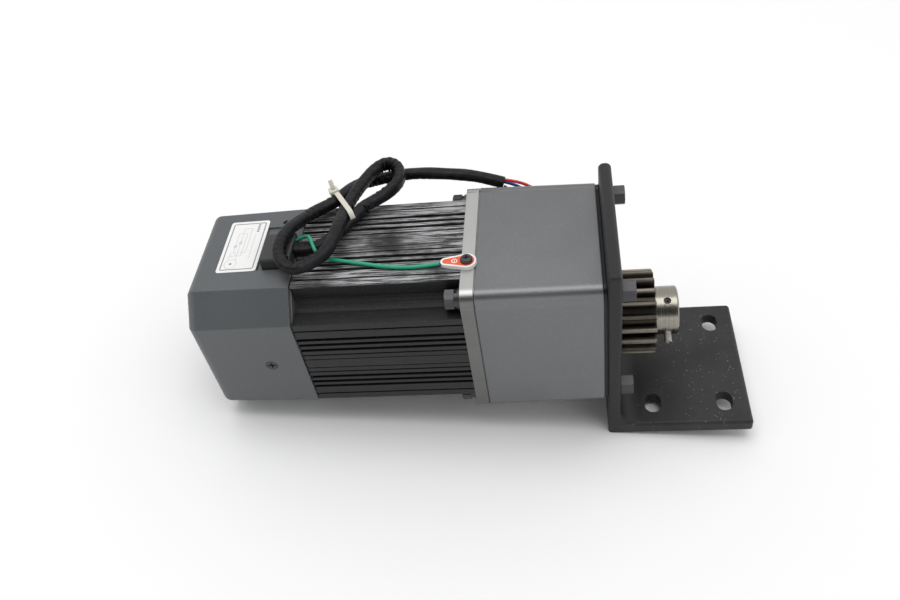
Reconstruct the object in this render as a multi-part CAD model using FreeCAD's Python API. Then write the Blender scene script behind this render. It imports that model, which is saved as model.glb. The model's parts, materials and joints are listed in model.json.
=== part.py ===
"""Sliding gate motor: an AC gear motor on an angle bracket, driving a rack pinion.

Frame: +X runs along the motor axis from the fan towards the pinion, +Y is the
back, +Z is up.  The origin is the centre of the four foundation slots, on the
underside of the bracket's foot.  All sizes are millimetres.
"""
import FreeCAD, Part
import os
from math import acos, atan2, cos, degrees, pi, radians, sin, sqrt, tan

from FreeCAD import Vector

os.makedirs("parts", exist_ok=True)

# ---------------------------------------------------------------- driving sizes
FRAME = 45.0            # half width of the 90 mm square motor and gearbox
AXIS_Z = 71.0           # height of the motor axis above the foundation
OFFSET = 18.0           # output axis below the motor axis
BOLT = 36.77            # bolts on a 104 mm circle, at 45 degrees
BOLT_R = 3.0            # M6
BOLT_HOLE_R = 3.3

PLATE_X = -46.0         # gearbox side of the bracket's upright
PLATE_T = 7.0
FOOT_LEN = 80.0
UPRIGHT_H = 125.0
UPRIGHT_ROUND = 3.0     # both corners of the upright's top edge
SLOT_X = 20.0           # half spacing of the foundation slots along X
SLOT_Y = 30.0           # half spacing along Y
SLOT_R = 4.5
SLOT_LEN = 13.0

PAD_T = 2.0             # raised pad on the gearbox's output face
PAD_INSET = 0.5
PILOT_R = 17.0          # spigot of the gearbox in the bracket
CASE_X1 = PLATE_X - PAD_T
CASE_X0 = CASE_X1 - 63.0
CASE_CORNER = (2.4, 6.0)        # facet and round of the casting's edges
FLANGE_CORNER = (1.2, 7.0)
CASE_DRAFT = 1.0        # each side of the casting is this much smaller at its output face
SEAM = (0.6, 0.8)       # width and depth of the groove between flange and gearbox
CAVITY = (39.0, 14.0)   # half width and corner chamfer inside the gearbox
FLANGE_X0 = CASE_X0 - 7.5
BODY_X0 = FLANGE_X0 - 89.0
COVER_X0 = BODY_X0 - 58.0
FACE_X = CASE_X1 - 15.0     # inside of the gearbox's thick output face
OUT_Z = AXIS_Z - OFFSET

RUN_FIT = 0.03          # radial clearance of a running fit
BEARING_R = 17.5        # 6003 bearing: 35 mm outside, 10 mm wide seat
SEAL_R = 13.0
SPIGOT_R = 38.9         # registers of flange and end bell in the extrusion
GAP = 0.4               # clearance between moving and fixed parts

STAGE = [(12, 36, 1.0), (12, 34, 1.25), (15, 30, 1.25)]
FIRST_IDLER_ANGLE = radians(52)
PRESSURE = radians(25)
STUB_TOOTH = (0.9, 1.15, 0.12)      # addendum and dedendum in modules, backlash in mm
RACK_TEETH = 19
RACK_MODULE = 2.25
RACK_PRESSURE = radians(20)
RACK_TOOTH = (1.0, 1.25, 0.1)
RACK_X0 = PLATE_X + PLATE_T + 0.6
RACK_X1 = -18.4
HUB_X1 = -5.6
HUB_R = 13.6
SHAFT_R = 7.5
KEY = 5.0
KEY_ANGLE = radians(201)    # the key lies under the longer set screw
SUNK_SCREW_ANGLE = radians(111)
TOOTH_ANGLE = radians(123)

COVER_HALF = 45.5
COVER_CHAMFER = 14.6
COVER_WALL = 2.5
COVER_DRAFT = 0.8
COVER_ROUND = 6.0
COVER_LIP = 0.6         # the cover stands off the extrusion by this
COVER_X1 = BODY_X0 - COVER_LIP
SCREW_X = -226.8        # cover screws, on the middle of the front and back

FIN_GROOVES = [(3.4, 0.6, 0.35), (7.0, 0.9, 1.0), (11.1, 2.0, 4.0),
               (15.2, 2.0, 4.0), (19.3, 2.0, 4.0), (26.0, 1.0, 1.2)]
NOTCH = 30.7            # where a side of the extrusion ends at the corner notch
NOTCH_FILLET = 5.0

# ------------------------------------------------------------------ helpers


def save(name, *solids):
    """Write one node; several solids stay separate inside it."""
    shape = solids[0] if len(solids) == 1 else Part.makeCompound(list(solids))
    shape.exportStep("parts/" + name + ".step")


def box(x0, x1, y0, y1, z0, z1):
    return Part.makeBox(x1 - x0, y1 - y0, z1 - z0, Vector(x0, y0, z0))


def rod(x0, x1, radius, y=0.0, z=AXIS_Z):
    """A round bar along X."""
    return Part.makeCylinder(radius, x1 - x0, Vector(x0, y, z), Vector(1, 0, 0))


def cone(x0, x1, r0, r1, y=0.0, z=AXIS_Z):
    return Part.makeCone(r0, r1, x1 - x0, Vector(x0, y, z), Vector(1, 0, 0))


def tube(x0, x1, outer, inner, y=0.0, z=AXIS_Z):
    return rod(x0, x1, outer, y, z).cut(rod(x0 - 1, x1 + 1, inner, y, z))


def turned(profile, y=0.0, z=AXIS_Z):
    """Revolve an outline of (x, radius) points about an axis along X."""
    points = [Vector(x, y, z + r) for x, r in profile]
    face = Part.Face(Part.makePolygon(points + points[:1]))
    return face.revolve(Vector(0, y, z), Vector(1, 0, 0), 360)


def wire_yz(points, x, z0=AXIS_Z):
    return Part.makePolygon([Vector(x, y, z0 + z) for y, z in points + points[:1]])


def extrude_x(points, x0, x1, z0=AXIS_Z):
    face = Part.Face(wire_yz(points, x0, z0))
    return face.extrude(Vector(x1 - x0, 0, 0))


def around(quarter):
    """Turn the outline of one corner into the outline of all four."""
    points = []
    for turn in range(4):
        c, s = cos(turn * pi / 2), sin(turn * pi / 2)
        points += [(c * y - s * z, s * y + c * z) for y, z in quarter]
    return points


def hexagon(across_flats, corner_angle):
    radius = across_flats / 2 / cos(pi / 6)
    return [(radius * cos(corner_angle + i * pi / 3),
             radius * sin(corner_angle + i * pi / 3)) for i in range(6)]


def corners():
    return [(sy * BOLT, AXIS_Z + sz * BOLT) for sy in (-1, 1) for sz in (-1, 1)]


def bolt_holes(x0, x1, radius=BOLT_HOLE_R):
    return [rod(x0, x1, radius, y, z) for y, z in corners()]


def edges_where(shape, test):
    """Edges whose middle point passes the test."""
    found = []
    for edge in shape.Edges:
        middle = edge.valueAt((edge.FirstParameter + edge.LastParameter) / 2)
        if test(middle, edge):
            found.append(edge)
    return found


# ------------------------------------------------------------------ bracket


def angle_section():
    """Rolled angle: legs, a root fillet inside and rounded toes."""
    root, toe, top = 11.0, 2.3, UPRIGHT_ROUND
    x0, x1 = PLATE_X, PLATE_X + PLATE_T
    end = PLATE_X + FOOT_LEN
    k = 1 - sqrt(0.5)

    def at(x, z):
        return Vector(x, -FRAME, z)

    edges = [
        Part.LineSegment(at(x0, 0), at(end, 0)),
        Part.LineSegment(at(end, 0), at(end, PLATE_T - toe)),
        Part.Arc(at(end, PLATE_T - toe),
                 at(end - k * toe, PLATE_T - k * toe),
                 at(end - toe, PLATE_T)),
        Part.LineSegment(at(end - toe, PLATE_T), at(x1 + root, PLATE_T)),
        Part.Arc(at(x1 + root, PLATE_T),
                 at(x1 + k * root, PLATE_T + k * root),
                 at(x1, PLATE_T + root)),
        Part.LineSegment(at(x1, PLATE_T + root), at(x1, UPRIGHT_H - top)),
        Part.Arc(at(x1, UPRIGHT_H - top),
                 at(x1 - k * top, UPRIGHT_H - k * top),
                 at(x1 - top, UPRIGHT_H)),
        Part.LineSegment(at(x1 - top, UPRIGHT_H), at(x0 + top, UPRIGHT_H)),
        Part.Arc(at(x0 + top, UPRIGHT_H),
                 at(x0 + k * top, UPRIGHT_H - k * top),
                 at(x0, UPRIGHT_H - top)),
        Part.LineSegment(at(x0, UPRIGHT_H - top), at(x0, 0)),
    ]
    return Part.Face(Part.Wire([e.toShape() for e in edges]))


def slot(x, y, radius, length, z0, z1):
    """A slot along Y with round ends."""
    reach = length / 2 - radius
    ends = [Part.makeCylinder(radius, z1 - z0, Vector(x, y + s * reach, z0)) for s in (-1, 1)]
    middle = box(x - radius, x + radius, y - reach, y + reach, z0, z1)
    return ends[0].fuse([ends[1], middle])


def mounting_bracket():
    bracket = angle_section().extrude(Vector(0, 2 * FRAME, 0))
    end = PLATE_X + FOOT_LEN
    plan = edges_where(bracket, lambda m, e: m.x > end - 0.01 and abs(abs(m.y) - FRAME) < 0.01
                       and 0 < m.z < PLATE_T and e.Length > 2)
    bracket = bracket.makeFillet(2.0, plan)
    cuts = bolt_holes(PLATE_X - 1, PLATE_X + PLATE_T + 1)
    cuts.append(rod(PLATE_X - 1, PLATE_X + PLATE_T + 1, PILOT_R + 0.5, 0, OUT_Z))
    for x in (-SLOT_X, SLOT_X):
        for y in (-SLOT_Y, SLOT_Y):
            cuts.append(slot(x, y, SLOT_R, SLOT_LEN, -1, PLATE_T + 1))
    return bracket.cut(cuts)


# ------------------------------------------------------------------ gears


def involute(angle):
    return tan(angle) - angle


def tooth_corners(teeth, module, pressure, addendum, dedendum, backlash):
    """Half of one tooth as (radius, half angle) from root to tip."""
    pitch = teeth * module / 2
    base = pitch * cos(pressure)
    root = pitch - dedendum * module
    tip = pitch + addendum * module
    half = pi / (2 * teeth) - backlash / (2 * pitch)

    def half_angle(radius):
        if radius <= base:
            return half + involute(pressure)
        return half + involute(pressure) - involute(acos(base / radius))

    radii = [root, base, pitch, tip] if base > root + 0.05 else [root, pitch, tip]
    return [(r, half_angle(r)) for r in radii]


def gear(teeth, module, x0, x1, centre, tooth_at, bore=0.0):
    """A spur gear with a tooth centred on the angle tooth_at."""
    side = tooth_corners(teeth, module, PRESSURE, *STUB_TOOTH)
    points = []
    for i in range(teeth):
        angle = tooth_at + 2 * pi * i / teeth
        points += [(r * cos(angle - h), r * sin(angle - h)) for r, h in side]
        points += [(r * cos(angle + h), r * sin(angle + h)) for r, h in reversed(side)]
    blank = extrude_x([(centre[0] + y, centre[1] + z) for y, z in points], x0, x1)
    if bore:
        blank = blank.cut(rod(x0 - 1, x1 + 1, bore, centre[0], AXIS_Z + centre[1]))
    return blank


def direction(a, b):
    return atan2(b[1] - a[1], b[0] - a[0])


def spacing(stage):
    pinion, wheel, module = STAGE[stage]
    return (pinion + wheel) * module / 2


MOTOR_AXIS = (0.0, 0.0)
OUTPUT_AXIS = (0.0, -OFFSET)
FIRST_AXIS = (spacing(0) * cos(FIRST_IDLER_ANGLE), spacing(0) * sin(FIRST_IDLER_ANGLE))


def second_axis():
    """The idler axis that meets both the first idler and the output gear."""
    near, far = spacing(2), spacing(1)
    dy, dz = FIRST_AXIS[0] - OUTPUT_AXIS[0], FIRST_AXIS[1] - OUTPUT_AXIS[1]
    gap = sqrt(dy * dy + dz * dz)
    along = (near ** 2 - far ** 2 + gap ** 2) / (2 * gap)
    side = sqrt(near ** 2 - along ** 2)
    uy, uz = dy / gap, dz / gap
    return (OUTPUT_AXIS[0] + along * uy - side * uz, OUTPUT_AXIS[1] + along * uz + side * uy)


SECOND_AXIS = second_axis()
AXES = [MOTOR_AXIS, FIRST_AXIS, SECOND_AXIS, OUTPUT_AXIS]
LAYER = [(CASE_X0 + 6.5, CASE_X0 + 13.5), (CASE_X0 + 17, CASE_X0 + 26), (CASE_X0 + 31, CASE_X0 + 45)]
OVERHANG = 0.8          # a pinion is this much wider than its wheel, at each side
WEB = 1.5               # depth of the recess in a wheel's face
IDLER_R = 5.0
JOURNAL_R = 3.8
IDLER_BUSH_R = 5.6
OUTPUT_BUSH_R = 7.0
TAIL_R = 5.0            # rear journal of the output shaft
REAR_PLATE_T = 5.0
REAR_BUSH = REAR_PLATE_T + 0.6
FRONT_BUSH = 8.0
END_PLAY = 0.5
PINION_NECK_R = 4.6     # motor shaft behind its pinion
NECK_HOLE_R = 7.1


def pinion_of(stage):
    """Pinion with a tooth pointing at the wheel that it drives."""
    teeth, _, module = STAGE[stage]
    here, there = AXES[stage], AXES[stage + 1]
    x0, x1 = LAYER[stage]
    return gear(teeth, module, x0 - OVERHANG, x1 + OVERHANG, here, direction(here, there))


def wheel_of(stage, bore):
    """Wheel with a gap facing the pinion that drives it."""
    _, teeth, module = STAGE[stage]
    here, there = AXES[stage + 1], AXES[stage]
    x0, x1 = LAYER[stage]
    blank = gear(teeth, module, x0, x1, here, direction(here, there) + pi / teeth, bore)
    rim = (teeth / 2 - 4) * module
    web = tube(x0 - 1, x0 + WEB, rim, bore + 3.5, here[0], AXIS_Z + here[1])
    return blank.cut(web)


def place(axis):
    return axis[0], AXIS_Z + axis[1]


def idler_shaft(stage):
    """Idler shaft with the next stage's pinion cut on it."""
    y, z = place(AXES[stage])
    shoulder = CASE_X0 + REAR_BUSH + 0.2
    rear = rod(CASE_X0 + END_PLAY, shoulder, JOURNAL_R, y, z)
    middle = rod(shoulder, FACE_X - END_PLAY, IDLER_R, y, z)
    front = rod(FACE_X - END_PLAY, FACE_X + FRONT_BUSH - END_PLAY, JOURNAL_R, y, z)
    return middle.fuse([rear, front, pinion_of(stage)]).removeSplitter()


# ------------------------------------------------------------------ gearbox


def rounded_square(half, facet, radius, x):
    """Square with, at each corner, a narrow facet above a round."""
    start = half - radius - facet
    drop = facet * 0.35
    k = 1 - sqrt(0.5)
    edges = []
    for turn in range(4):
        c, s = cos(turn * pi / 2), sin(turn * pi / 2)

        def at(y, z):
            return Vector(x, c * y - s * z, AXIS_Z + s * y + c * z)

        low = half - radius
        mid = (half - k * radius, half - drop - k * (radius - drop))
        edges.append(Part.LineSegment(at(half, -start), at(half, low - drop)))
        edges.append(Part.Arc(at(half, low - drop), at(*mid), at(low, half - drop)))
        edges.append(Part.LineSegment(at(low, half - drop), at(start, half)))
    return Part.Wire([e.toShape() for e in edges])


def cavity(half, chamfer, x0, x1):
    quarter = [(half, half - chamfer), (half - chamfer, half)]
    return extrude_x(around(quarter), x0, x1)


def gearbox_case():
    """Drafted casting, closed at the output end, with its pad, pilot and bores."""
    end = FRAME - CASE_DRAFT
    body = Part.makeLoft([rounded_square(FRAME, *CASE_CORNER, CASE_X0),
                          rounded_square(end, *CASE_CORNER, CASE_X1)], True, True)
    rim = rounded_square(end - PAD_INSET, *CASE_CORNER, CASE_X1)
    pad = Part.Face(rim).extrude(Vector(PAD_T, 0, 0))
    pilot = rod(PLATE_X, PLATE_X + 4, PILOT_R, 0, OUT_Z)
    case = body.fuse([pad, pilot]).removeSplitter()
    out_y, out_z = place(OUTPUT_AXIS)
    cuts = [cavity(*CAVITY, CASE_X0 - 1, FACE_X)]
    cuts.append(rod(FACE_X - 1, FACE_X + 11, BEARING_R, out_y, out_z))
    cuts.append(rod(FACE_X - 1, PLATE_X + 5, SHAFT_R + 1, out_y, out_z))
    cuts.append(rod(PLATE_X - 1, PLATE_X + 5, SEAL_R, out_y, out_z))
    for axis in (FIRST_AXIS, SECOND_AXIS):
        cuts.append(rod(FACE_X - 1, FACE_X + FRONT_BUSH, IDLER_BUSH_R, *place(axis)))
    return case.cut(cuts + bolt_holes(CASE_X0 - 1, PLATE_X + 1))


def gearbox_rear_plate():
    half, chamfer = CAVITY
    plate = cavity(half - 0.1, chamfer, CASE_X0, CASE_X0 + REAR_PLATE_T)
    bores = ((MOTOR_AXIS, NECK_HOLE_R), (FIRST_AXIS, IDLER_BUSH_R),
             (SECOND_AXIS, IDLER_BUSH_R), (OUTPUT_AXIS, OUTPUT_BUSH_R))
    x0, x1 = CASE_X0 - 1, CASE_X0 + REAR_PLATE_T + 1
    return plate.cut([rod(x0, x1, radius, *place(axis)) for axis, radius in bores])


def gear_shaft_bushes():
    bushes = []
    for axis in (FIRST_AXIS, SECOND_AXIS):
        for x0, x1 in ((CASE_X0, CASE_X0 + REAR_BUSH), (FACE_X, FACE_X + FRONT_BUSH)):
            bushes.append(tube(x0, x1, IDLER_BUSH_R, JOURNAL_R + RUN_FIT, *place(axis)))
    bushes.append(tube(CASE_X0, CASE_X0 + REAR_BUSH, OUTPUT_BUSH_R, TAIL_R + RUN_FIT,
                       *place(OUTPUT_AXIS)))
    return bushes


def ball_bearing(x0, width, outer, inner, axis=MOTOR_AXIS):
    """Deep-groove bearing with its shields set back from both faces."""
    y, z = place(axis)
    inner += RUN_FIT
    land = (outer - inner) * 0.22
    shield = 0.6
    x1 = x0 + width
    profile = [(x0, inner), (x0, inner + land), (x0 + shield, inner + land),
               (x0 + shield, outer - land), (x0, outer - land), (x0, outer),
               (x1, outer), (x1, outer - land), (x1 - shield, outer - land),
               (x1 - shield, inner + land), (x1, inner + land), (x1, inner)]
    return turned(profile, y, z)


def lip_seal(x0, width, outer, shaft, axis=MOTOR_AXIS):
    """Rubber seal with a lip that stands off the shaft by a running fit."""
    y, z = place(axis)
    x1 = x0 + width
    lip = shaft + 0.05
    profile = [(x0, lip + 1.6), (x0, outer), (x1, outer), (x1, lip + 0.8),
               (x1 - 1.2, lip), (x1 - 2.0, lip + 1.6)]
    return turned(profile, y, z)


# ------------------------------------------------------------------ output shaft

GEAR_SEAT = 8.5


def key_bar(x0, x1, low, high):
    """Square bar along X, from one radius to another, at the key's angle."""
    y, z = place(OUTPUT_AXIS)
    bar = box(x0, x1, y - KEY / 2, y + KEY / 2, z + low, z + high)
    bar.rotate(Vector(x0, y, z), Vector(1, 0, 0), degrees(KEY_ANGLE) - 90)
    return bar


def output_shaft():
    y, z = place(OUTPUT_AXIS)
    gear_x0, gear_x1 = LAYER[2]
    parts = [rod(CASE_X0 + END_PLAY, gear_x0 - 1, TAIL_R, y, z),
             rod(gear_x0 - 1, gear_x1, GEAR_SEAT, y, z),
             rod(gear_x1, FACE_X - 0.3, GEAR_SEAT + 1, y, z),
             rod(FACE_X - 0.3, HUB_X1 - 1.6, SHAFT_R, y, z),
             cone(HUB_X1 - 1.6, HUB_X1 - 0.6, SHAFT_R, SHAFT_R - 1, y, z)]
    shaft = parts[0].fuse(parts[1:]).removeSplitter()
    cuts = [key_bar(gear_x0 + 1, gear_x1 - 1, GEAR_SEAT - 3, GEAR_SEAT + 3),
            key_bar(RACK_X0 + 2, HUB_X1 + 1, SHAFT_R - 3, SHAFT_R + 3)]
    return shaft.cut(cuts)


def output_keys():
    gear_x0, gear_x1 = LAYER[2]
    return [key_bar(gear_x0 + 1, gear_x1 - 1, GEAR_SEAT - 3, GEAR_SEAT + 2),
            key_bar(RACK_X0 + 2, HUB_X1 - 2, SHAFT_R - 3, SHAFT_R + 2)]


def keyed_bore(shape, x0, x1, bore):
    return shape.cut([rod(x0 - 1, x1 + 1, bore, *place(OUTPUT_AXIS)),
                      key_bar(x0 - 1, x1 + 1, 0, bore + 2)])


def output_gear():
    x0, x1 = LAYER[2]
    return keyed_bore(wheel_of(2, GEAR_SEAT), x0, x1, GEAR_SEAT)


SET_SCREW_X = -11.7
SET_SCREW_R = 2.0
SUNK_DEPTH = 2.2
PROUD_HEIGHT = 5.8


def radial_rod(x, angle, r0, r1, radius):
    y, z = place(OUTPUT_AXIS)
    out = Vector(0, cos(angle), sin(angle))
    return Part.makeCylinder(radius, r1 - r0, Vector(x, y, z) + out * r0, out)


def rack_pinion():
    """Pinion for the gate's rack, one piece with its hub."""
    y, z = place(OUTPUT_AXIS)
    side = tooth_corners(RACK_TEETH, RACK_MODULE, RACK_PRESSURE, *RACK_TOOTH)
    edges = []
    first = None
    last = None
    for i in range(RACK_TEETH):
        angle = TOOTH_ANGLE + 2 * pi * i / RACK_TEETH
        ring = []
        for sign in (-1, 1):
            flank = side if sign < 0 else list(reversed(side))
            ring.append([Vector(RACK_X0, y + r * cos(angle + sign * h), z + r * sin(angle + sign * h))
                         for r, h in flank])
        rise, fall = ring
        first = first or rise[0]
        if last:
            edges.append(Part.LineSegment(last, rise[0]))
        edges += [Part.LineSegment(rise[0], rise[1]), Part.Arc(*rise[1:]),
                  Part.LineSegment(rise[3], fall[0]), Part.Arc(*fall[:3]),
                  Part.LineSegment(fall[2], fall[3])]
        last = fall[3]
    edges.append(Part.LineSegment(last, first))
    blank = Part.Face(Part.Wire([e.toShape() for e in edges])).extrude(
        Vector(RACK_X1 - RACK_X0, 0, 0))
    tip = RACK_MODULE * (RACK_TEETH / 2 + 1)
    bevel = 0.7
    turned_blank = turned([(RACK_X0, 0), (RACK_X0, tip - bevel), (RACK_X0 + bevel, tip + 0.01),
                           (RACK_X1 - bevel, tip + 0.01), (RACK_X1, tip - bevel), (RACK_X1, 0)],
                          y, z)
    hub = turned([(RACK_X1, 0), (RACK_X1, HUB_R), (HUB_X1 - 0.8, HUB_R),
                  (HUB_X1, HUB_R - 0.8), (HUB_X1, 0)], y, z)
    pinion = blank.common(turned_blank).fuse(hub).removeSplitter()
    pinion = keyed_bore(pinion, RACK_X0, HUB_X1, SHAFT_R)
    holes = [radial_rod(SET_SCREW_X, a, SHAFT_R - 1, HUB_R + 1, SET_SCREW_R)
             for a in (KEY_ANGLE, SUNK_SCREW_ANGLE)]
    return pinion.cut(holes)


def set_screws():
    """One screw is run right in, the one on the key stands proud of the hub."""
    screws = []
    for angle, r0, r1 in ((SUNK_SCREW_ANGLE, SHAFT_R, HUB_R - SUNK_DEPTH),
                          (KEY_ANGLE, SHAFT_R + 2, HUB_R + PROUD_HEIGHT)):
        body = radial_rod(SET_SCREW_X, angle, r0, r1, SET_SCREW_R)
        socket = radial_rod(SET_SCREW_X, angle, r1 - 1.5, r1 + 1, 1.0)
        screws.append(body.cut(socket))
    return screws


# ------------------------------------------------------------------ motor


FLANGE_BOSS = 13.0


def motor_flange():
    """Plate between motor and gearbox, with the front bearing's boss."""
    groove, depth = SEAM
    plate = Part.Face(rounded_square(FRAME, *FLANGE_CORNER, FLANGE_X0)).extrude(
        Vector(CASE_X0 - groove - FLANGE_X0, 0, 0))
    rim = rounded_square(FRAME - depth, *FLANGE_CORNER, CASE_X0 - groove)
    seat = Part.Face(rim).extrude(Vector(groove, 0, 0))
    boss = rod(FLANGE_X0 - FLANGE_BOSS, FLANGE_X0, 22.0)
    spigot = rod(FLANGE_X0 - 3, FLANGE_X0, SPIGOT_R)
    flange = plate.fuse([seat, boss, spigot]).removeSplitter()
    rear = FLANGE_X0 - FLANGE_BOSS - 1
    cuts = [rod(rear, FLANGE_X0 - 1.5, BEARING_R),
            rod(rear, CASE_X0 + 1, SHAFT_R + 0.8),
            rod(CASE_X0 - 6, CASE_X0 + 1, SEAL_R),
            Part.makeCylinder(EARTH_SCREW_R, 7, Vector(EARTH_X, EARTH_Y, AXIS_Z + FRAME - 7))]
    cuts += frame_screw_holes(FLANGE_X0 - 4, CASE_X0 + 1, FRAME_SCREW_R)
    cuts += frame_screw_holes(CASE_X0 - FRAME_SCREW_HEAD - 0.5, CASE_X0 + 1, 3.6)
    return flange.cut(cuts + bolt_holes(FLANGE_X0 - 1, CASE_X0 + 1))


EARTH_X = -115.4
EARTH_Y = -19.8
EARTH_SCREW_R = 1.75


def finned_corner():
    """A quarter of the extrusion: half a side, the corner notch, half a side."""
    side = []
    for offset, width, depth in FIN_GROOVES:
        a, b = offset - width / 2, offset + width / 2
        side += [(FRAME, a), (FRAME - depth, a), (FRAME - depth, b), (FRAME, b)]
    side.append((FRAME, NOTCH))
    fillet = []
    steps = 4
    centre = NOTCH + NOTCH_FILLET
    for i in range(steps + 1):
        angle = -pi / 2 - i * (pi / 2) / steps
        fillet.append((centre + NOTCH_FILLET * cos(angle), centre + NOTCH_FILLET * sin(angle)))
    return side + fillet + [(z, y) for y, z in reversed(side)]


STATOR_R = 39.0


def stator_frame():
    body = extrude_x(around(finned_corner()), BODY_X0, FLANGE_X0)
    cuts = [rod(BODY_X0 - 1, FLANGE_X0 + 1, STATOR_R)]
    cuts += frame_screw_holes(BODY_X0 - 1, BODY_X0 + 12, FRAME_SCREW_R)
    cuts += frame_screw_holes(FLANGE_X0 - 12, FLANGE_X0 + 1, FRAME_SCREW_R)
    return body.cut(cuts)


CORE_X0 = BODY_X0 + 20
CORE_X1 = CORE_X0 + 50
STATOR_BORE = 23.4
ROTOR_R = 23.0
END_TURN = 12.0


def stator_core():
    """Lamination stack with 24 half-closed slots towards the bore."""
    stack = tube(CORE_X0, CORE_X1, STATOR_R, STATOR_BORE)
    slots = []
    for i in range(24):
        opening = box(CORE_X0 - 1, CORE_X1 + 1, -0.9, 0.9, AXIS_Z + STATOR_BORE - 1, AXIS_Z + 27)
        pocket = extrude_x([(-1.7, 25.5), (1.7, 25.5), (2.6, 34.0), (-2.6, 34.0)],
                           CORE_X0 - 1, CORE_X1 + 1)
        cutter = opening.fuse(pocket)
        cutter.rotate(Vector(0, 0, AXIS_Z), Vector(1, 0, 0), 15 * i)
        slots.append(cutter)
    return stack.cut(slots)


def stator_windings():
    """The two rings of end turns that stand out of the core."""
    inner, outer, edge = 25.5, 36.5, 2.5

    def ring(x0, x1):
        far = x0 if abs(x0 - CORE_X0) > 0.1 and x0 < CORE_X0 else x1
        near = x1 if far == x0 else x0
        inset = edge if far < near else -edge
        return turned([(near, inner), (near, outer), (far + inset, outer),
                       (far, outer - edge), (far, inner + edge), (far + inset, inner)])

    return [ring(CORE_X0 - END_TURN, CORE_X0), ring(CORE_X1, CORE_X1 + END_TURN)]


FRAME_SCREW_CIRCLE = 84.4
FRAME_SCREW_R = 2.0
FRAME_SCREW_HEAD = 2.5
FRAME_SCREW_LEN = 14.0
REAR_BEARING_X = BODY_X0 + 1.5
REAR_BEARING_W = 10.0
REAR_BEARING_R = 16.0
REAR_JOURNAL_R = 6.0
FRONT_BEARING_X = FLANGE_X0 - 12.5
ROTOR_SEAT_R = 9.0
FAN_X0 = BODY_X0 - 25.5
FAN_X1 = BODY_X0 - 11.5
FAN_R = 34.0
FAN_HUB_R = 11.0
FAN_BORE_R = 5.0
RING_T = 0.9
RING_GROOVE_R = 4.5
BELL_HALF = 42.6        # fits inside the cover's mouth
LUG = (38.0, 42.4)      # reach of the lugs that the cover screws enter
BELL_X0 = BODY_X0 - 7


def rear_end_bell():
    plate = cavity(BELL_HALF, COVER_CHAMFER - 1.5, BELL_X0, BODY_X0)
    spigot = rod(BODY_X0, BODY_X0 + 3, SPIGOT_R)
    boss = rod(BODY_X0, BODY_X0 + 12.5, 20.0)
    lugs = [box(SCREW_X - 5, BELL_X0, *sorted((s * LUG[0], s * LUG[1])), AXIS_Z - 6, AXIS_Z + 6)
            for s in (-1, 1)]
    bell = plate.fuse([spigot, boss] + lugs).removeSplitter()
    cuts = [rod(REAR_BEARING_X, BODY_X0 + 13, REAR_BEARING_R),
            rod(BELL_X0 - 1, BODY_X0 + 13, REAR_JOURNAL_R + 0.8)]
    for s in (-1, 1):
        cuts.append(cross_rod(SCREW_X, s, 37.0, 43.0, 1.5))
    return bell.cut(cuts + frame_screw_holes(BELL_X0 - 1, BODY_X0 + 4, FRAME_SCREW_R))


def frame_screw_holes(x0, x1, radius):
    """Holes on the diagonals of the extrusion, in the thick metal of its four corners."""
    reach = FRAME_SCREW_CIRCLE / 2 / sqrt(2)
    return [rod(x0, x1, radius, sy * reach, AXIS_Z + sz * reach)
            for sy in (-1, 1) for sz in (-1, 1)]


def frame_screws(face, inward, sink):
    """Slotted screws from an end plate into the extrusion."""
    reach = FRAME_SCREW_CIRCLE / 2 / sqrt(2)
    screws = []
    for sy in (-1, 1):
        for sz in (-1, 1):
            y, z = sy * reach, AXIS_Z + sz * reach
            under = face + inward * sink
            top = under - inward * FRAME_SCREW_HEAD
            end = under + inward * FRAME_SCREW_LEN
            head = rod(min(top, under), max(top, under), 3.5, y, z)
            shank = rod(min(under, end), max(under, end), FRAME_SCREW_R, y, z)
            near, far = sorted((top - inward, top + inward))
            groove = box(near, far, y - 4, y + 4, z - 0.45, z + 0.45)
            screws.append(head.fuse(shank).cut(groove))
    return screws


def cross_rod(x, side, r0, r1, radius, tip=None):
    """A round bar or cone along Y, outwards on one side of the motor."""
    start = Vector(x, side * r0, AXIS_Z)
    if tip is None:
        return Part.makeCylinder(radius, r1 - r0, start, Vector(0, side, 0))
    return Part.makeCone(radius, tip, r1 - r0, start, Vector(0, side, 0))


def motor_shaft():
    """Rotor shaft: fan seat, rear journal, rotor seat, front journal, pinion."""
    rear_shoulder = REAR_BEARING_X + REAR_BEARING_W + 0.2
    front_shoulder = FRONT_BEARING_X - 0.2
    parts = [rod(FAN_X0 - 1.5, BELL_X0 - 2, FAN_BORE_R),
             rod(BELL_X0 - 2, rear_shoulder, REAR_JOURNAL_R),
             rod(rear_shoulder, front_shoulder, ROTOR_SEAT_R),
             rod(front_shoulder, CASE_X0 - 0.3, SHAFT_R),
             rod(CASE_X0 - 0.3, LAYER[0][1] + OVERHANG, PINION_NECK_R),
             pinion_of(0)]
    shaft = parts[0].fuse(parts[1:]).removeSplitter()
    return shaft.cut(tube(FAN_X0 - RING_T, FAN_X0, FAN_BORE_R + 1, RING_GROOVE_R))


def rotor_core():
    """Lamination stack with a cast ring and stub blades at each end."""
    core = tube(CORE_X0, CORE_X1, ROTOR_R, ROTOR_SEAT_R)
    parts = []
    for x0, x1, tip in ((CORE_X0 - 3, CORE_X0, CORE_X0 - 5), (CORE_X1, CORE_X1 + 3, CORE_X1 + 5)):
        parts.append(tube(x0, x1, 21.5, 14.0))
        blade_x0, blade_x1 = sorted((tip, x0 if tip < x0 else x1))
        for i in range(6):
            blade = box(blade_x0, blade_x1, -0.8, 0.8, AXIS_Z + 15, AXIS_Z + 21)
            blade.rotate(Vector(0, 0, AXIS_Z), Vector(1, 0, 0), 60 * i)
            parts.append(blade)
    return core.fuse(parts).removeSplitter()


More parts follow.
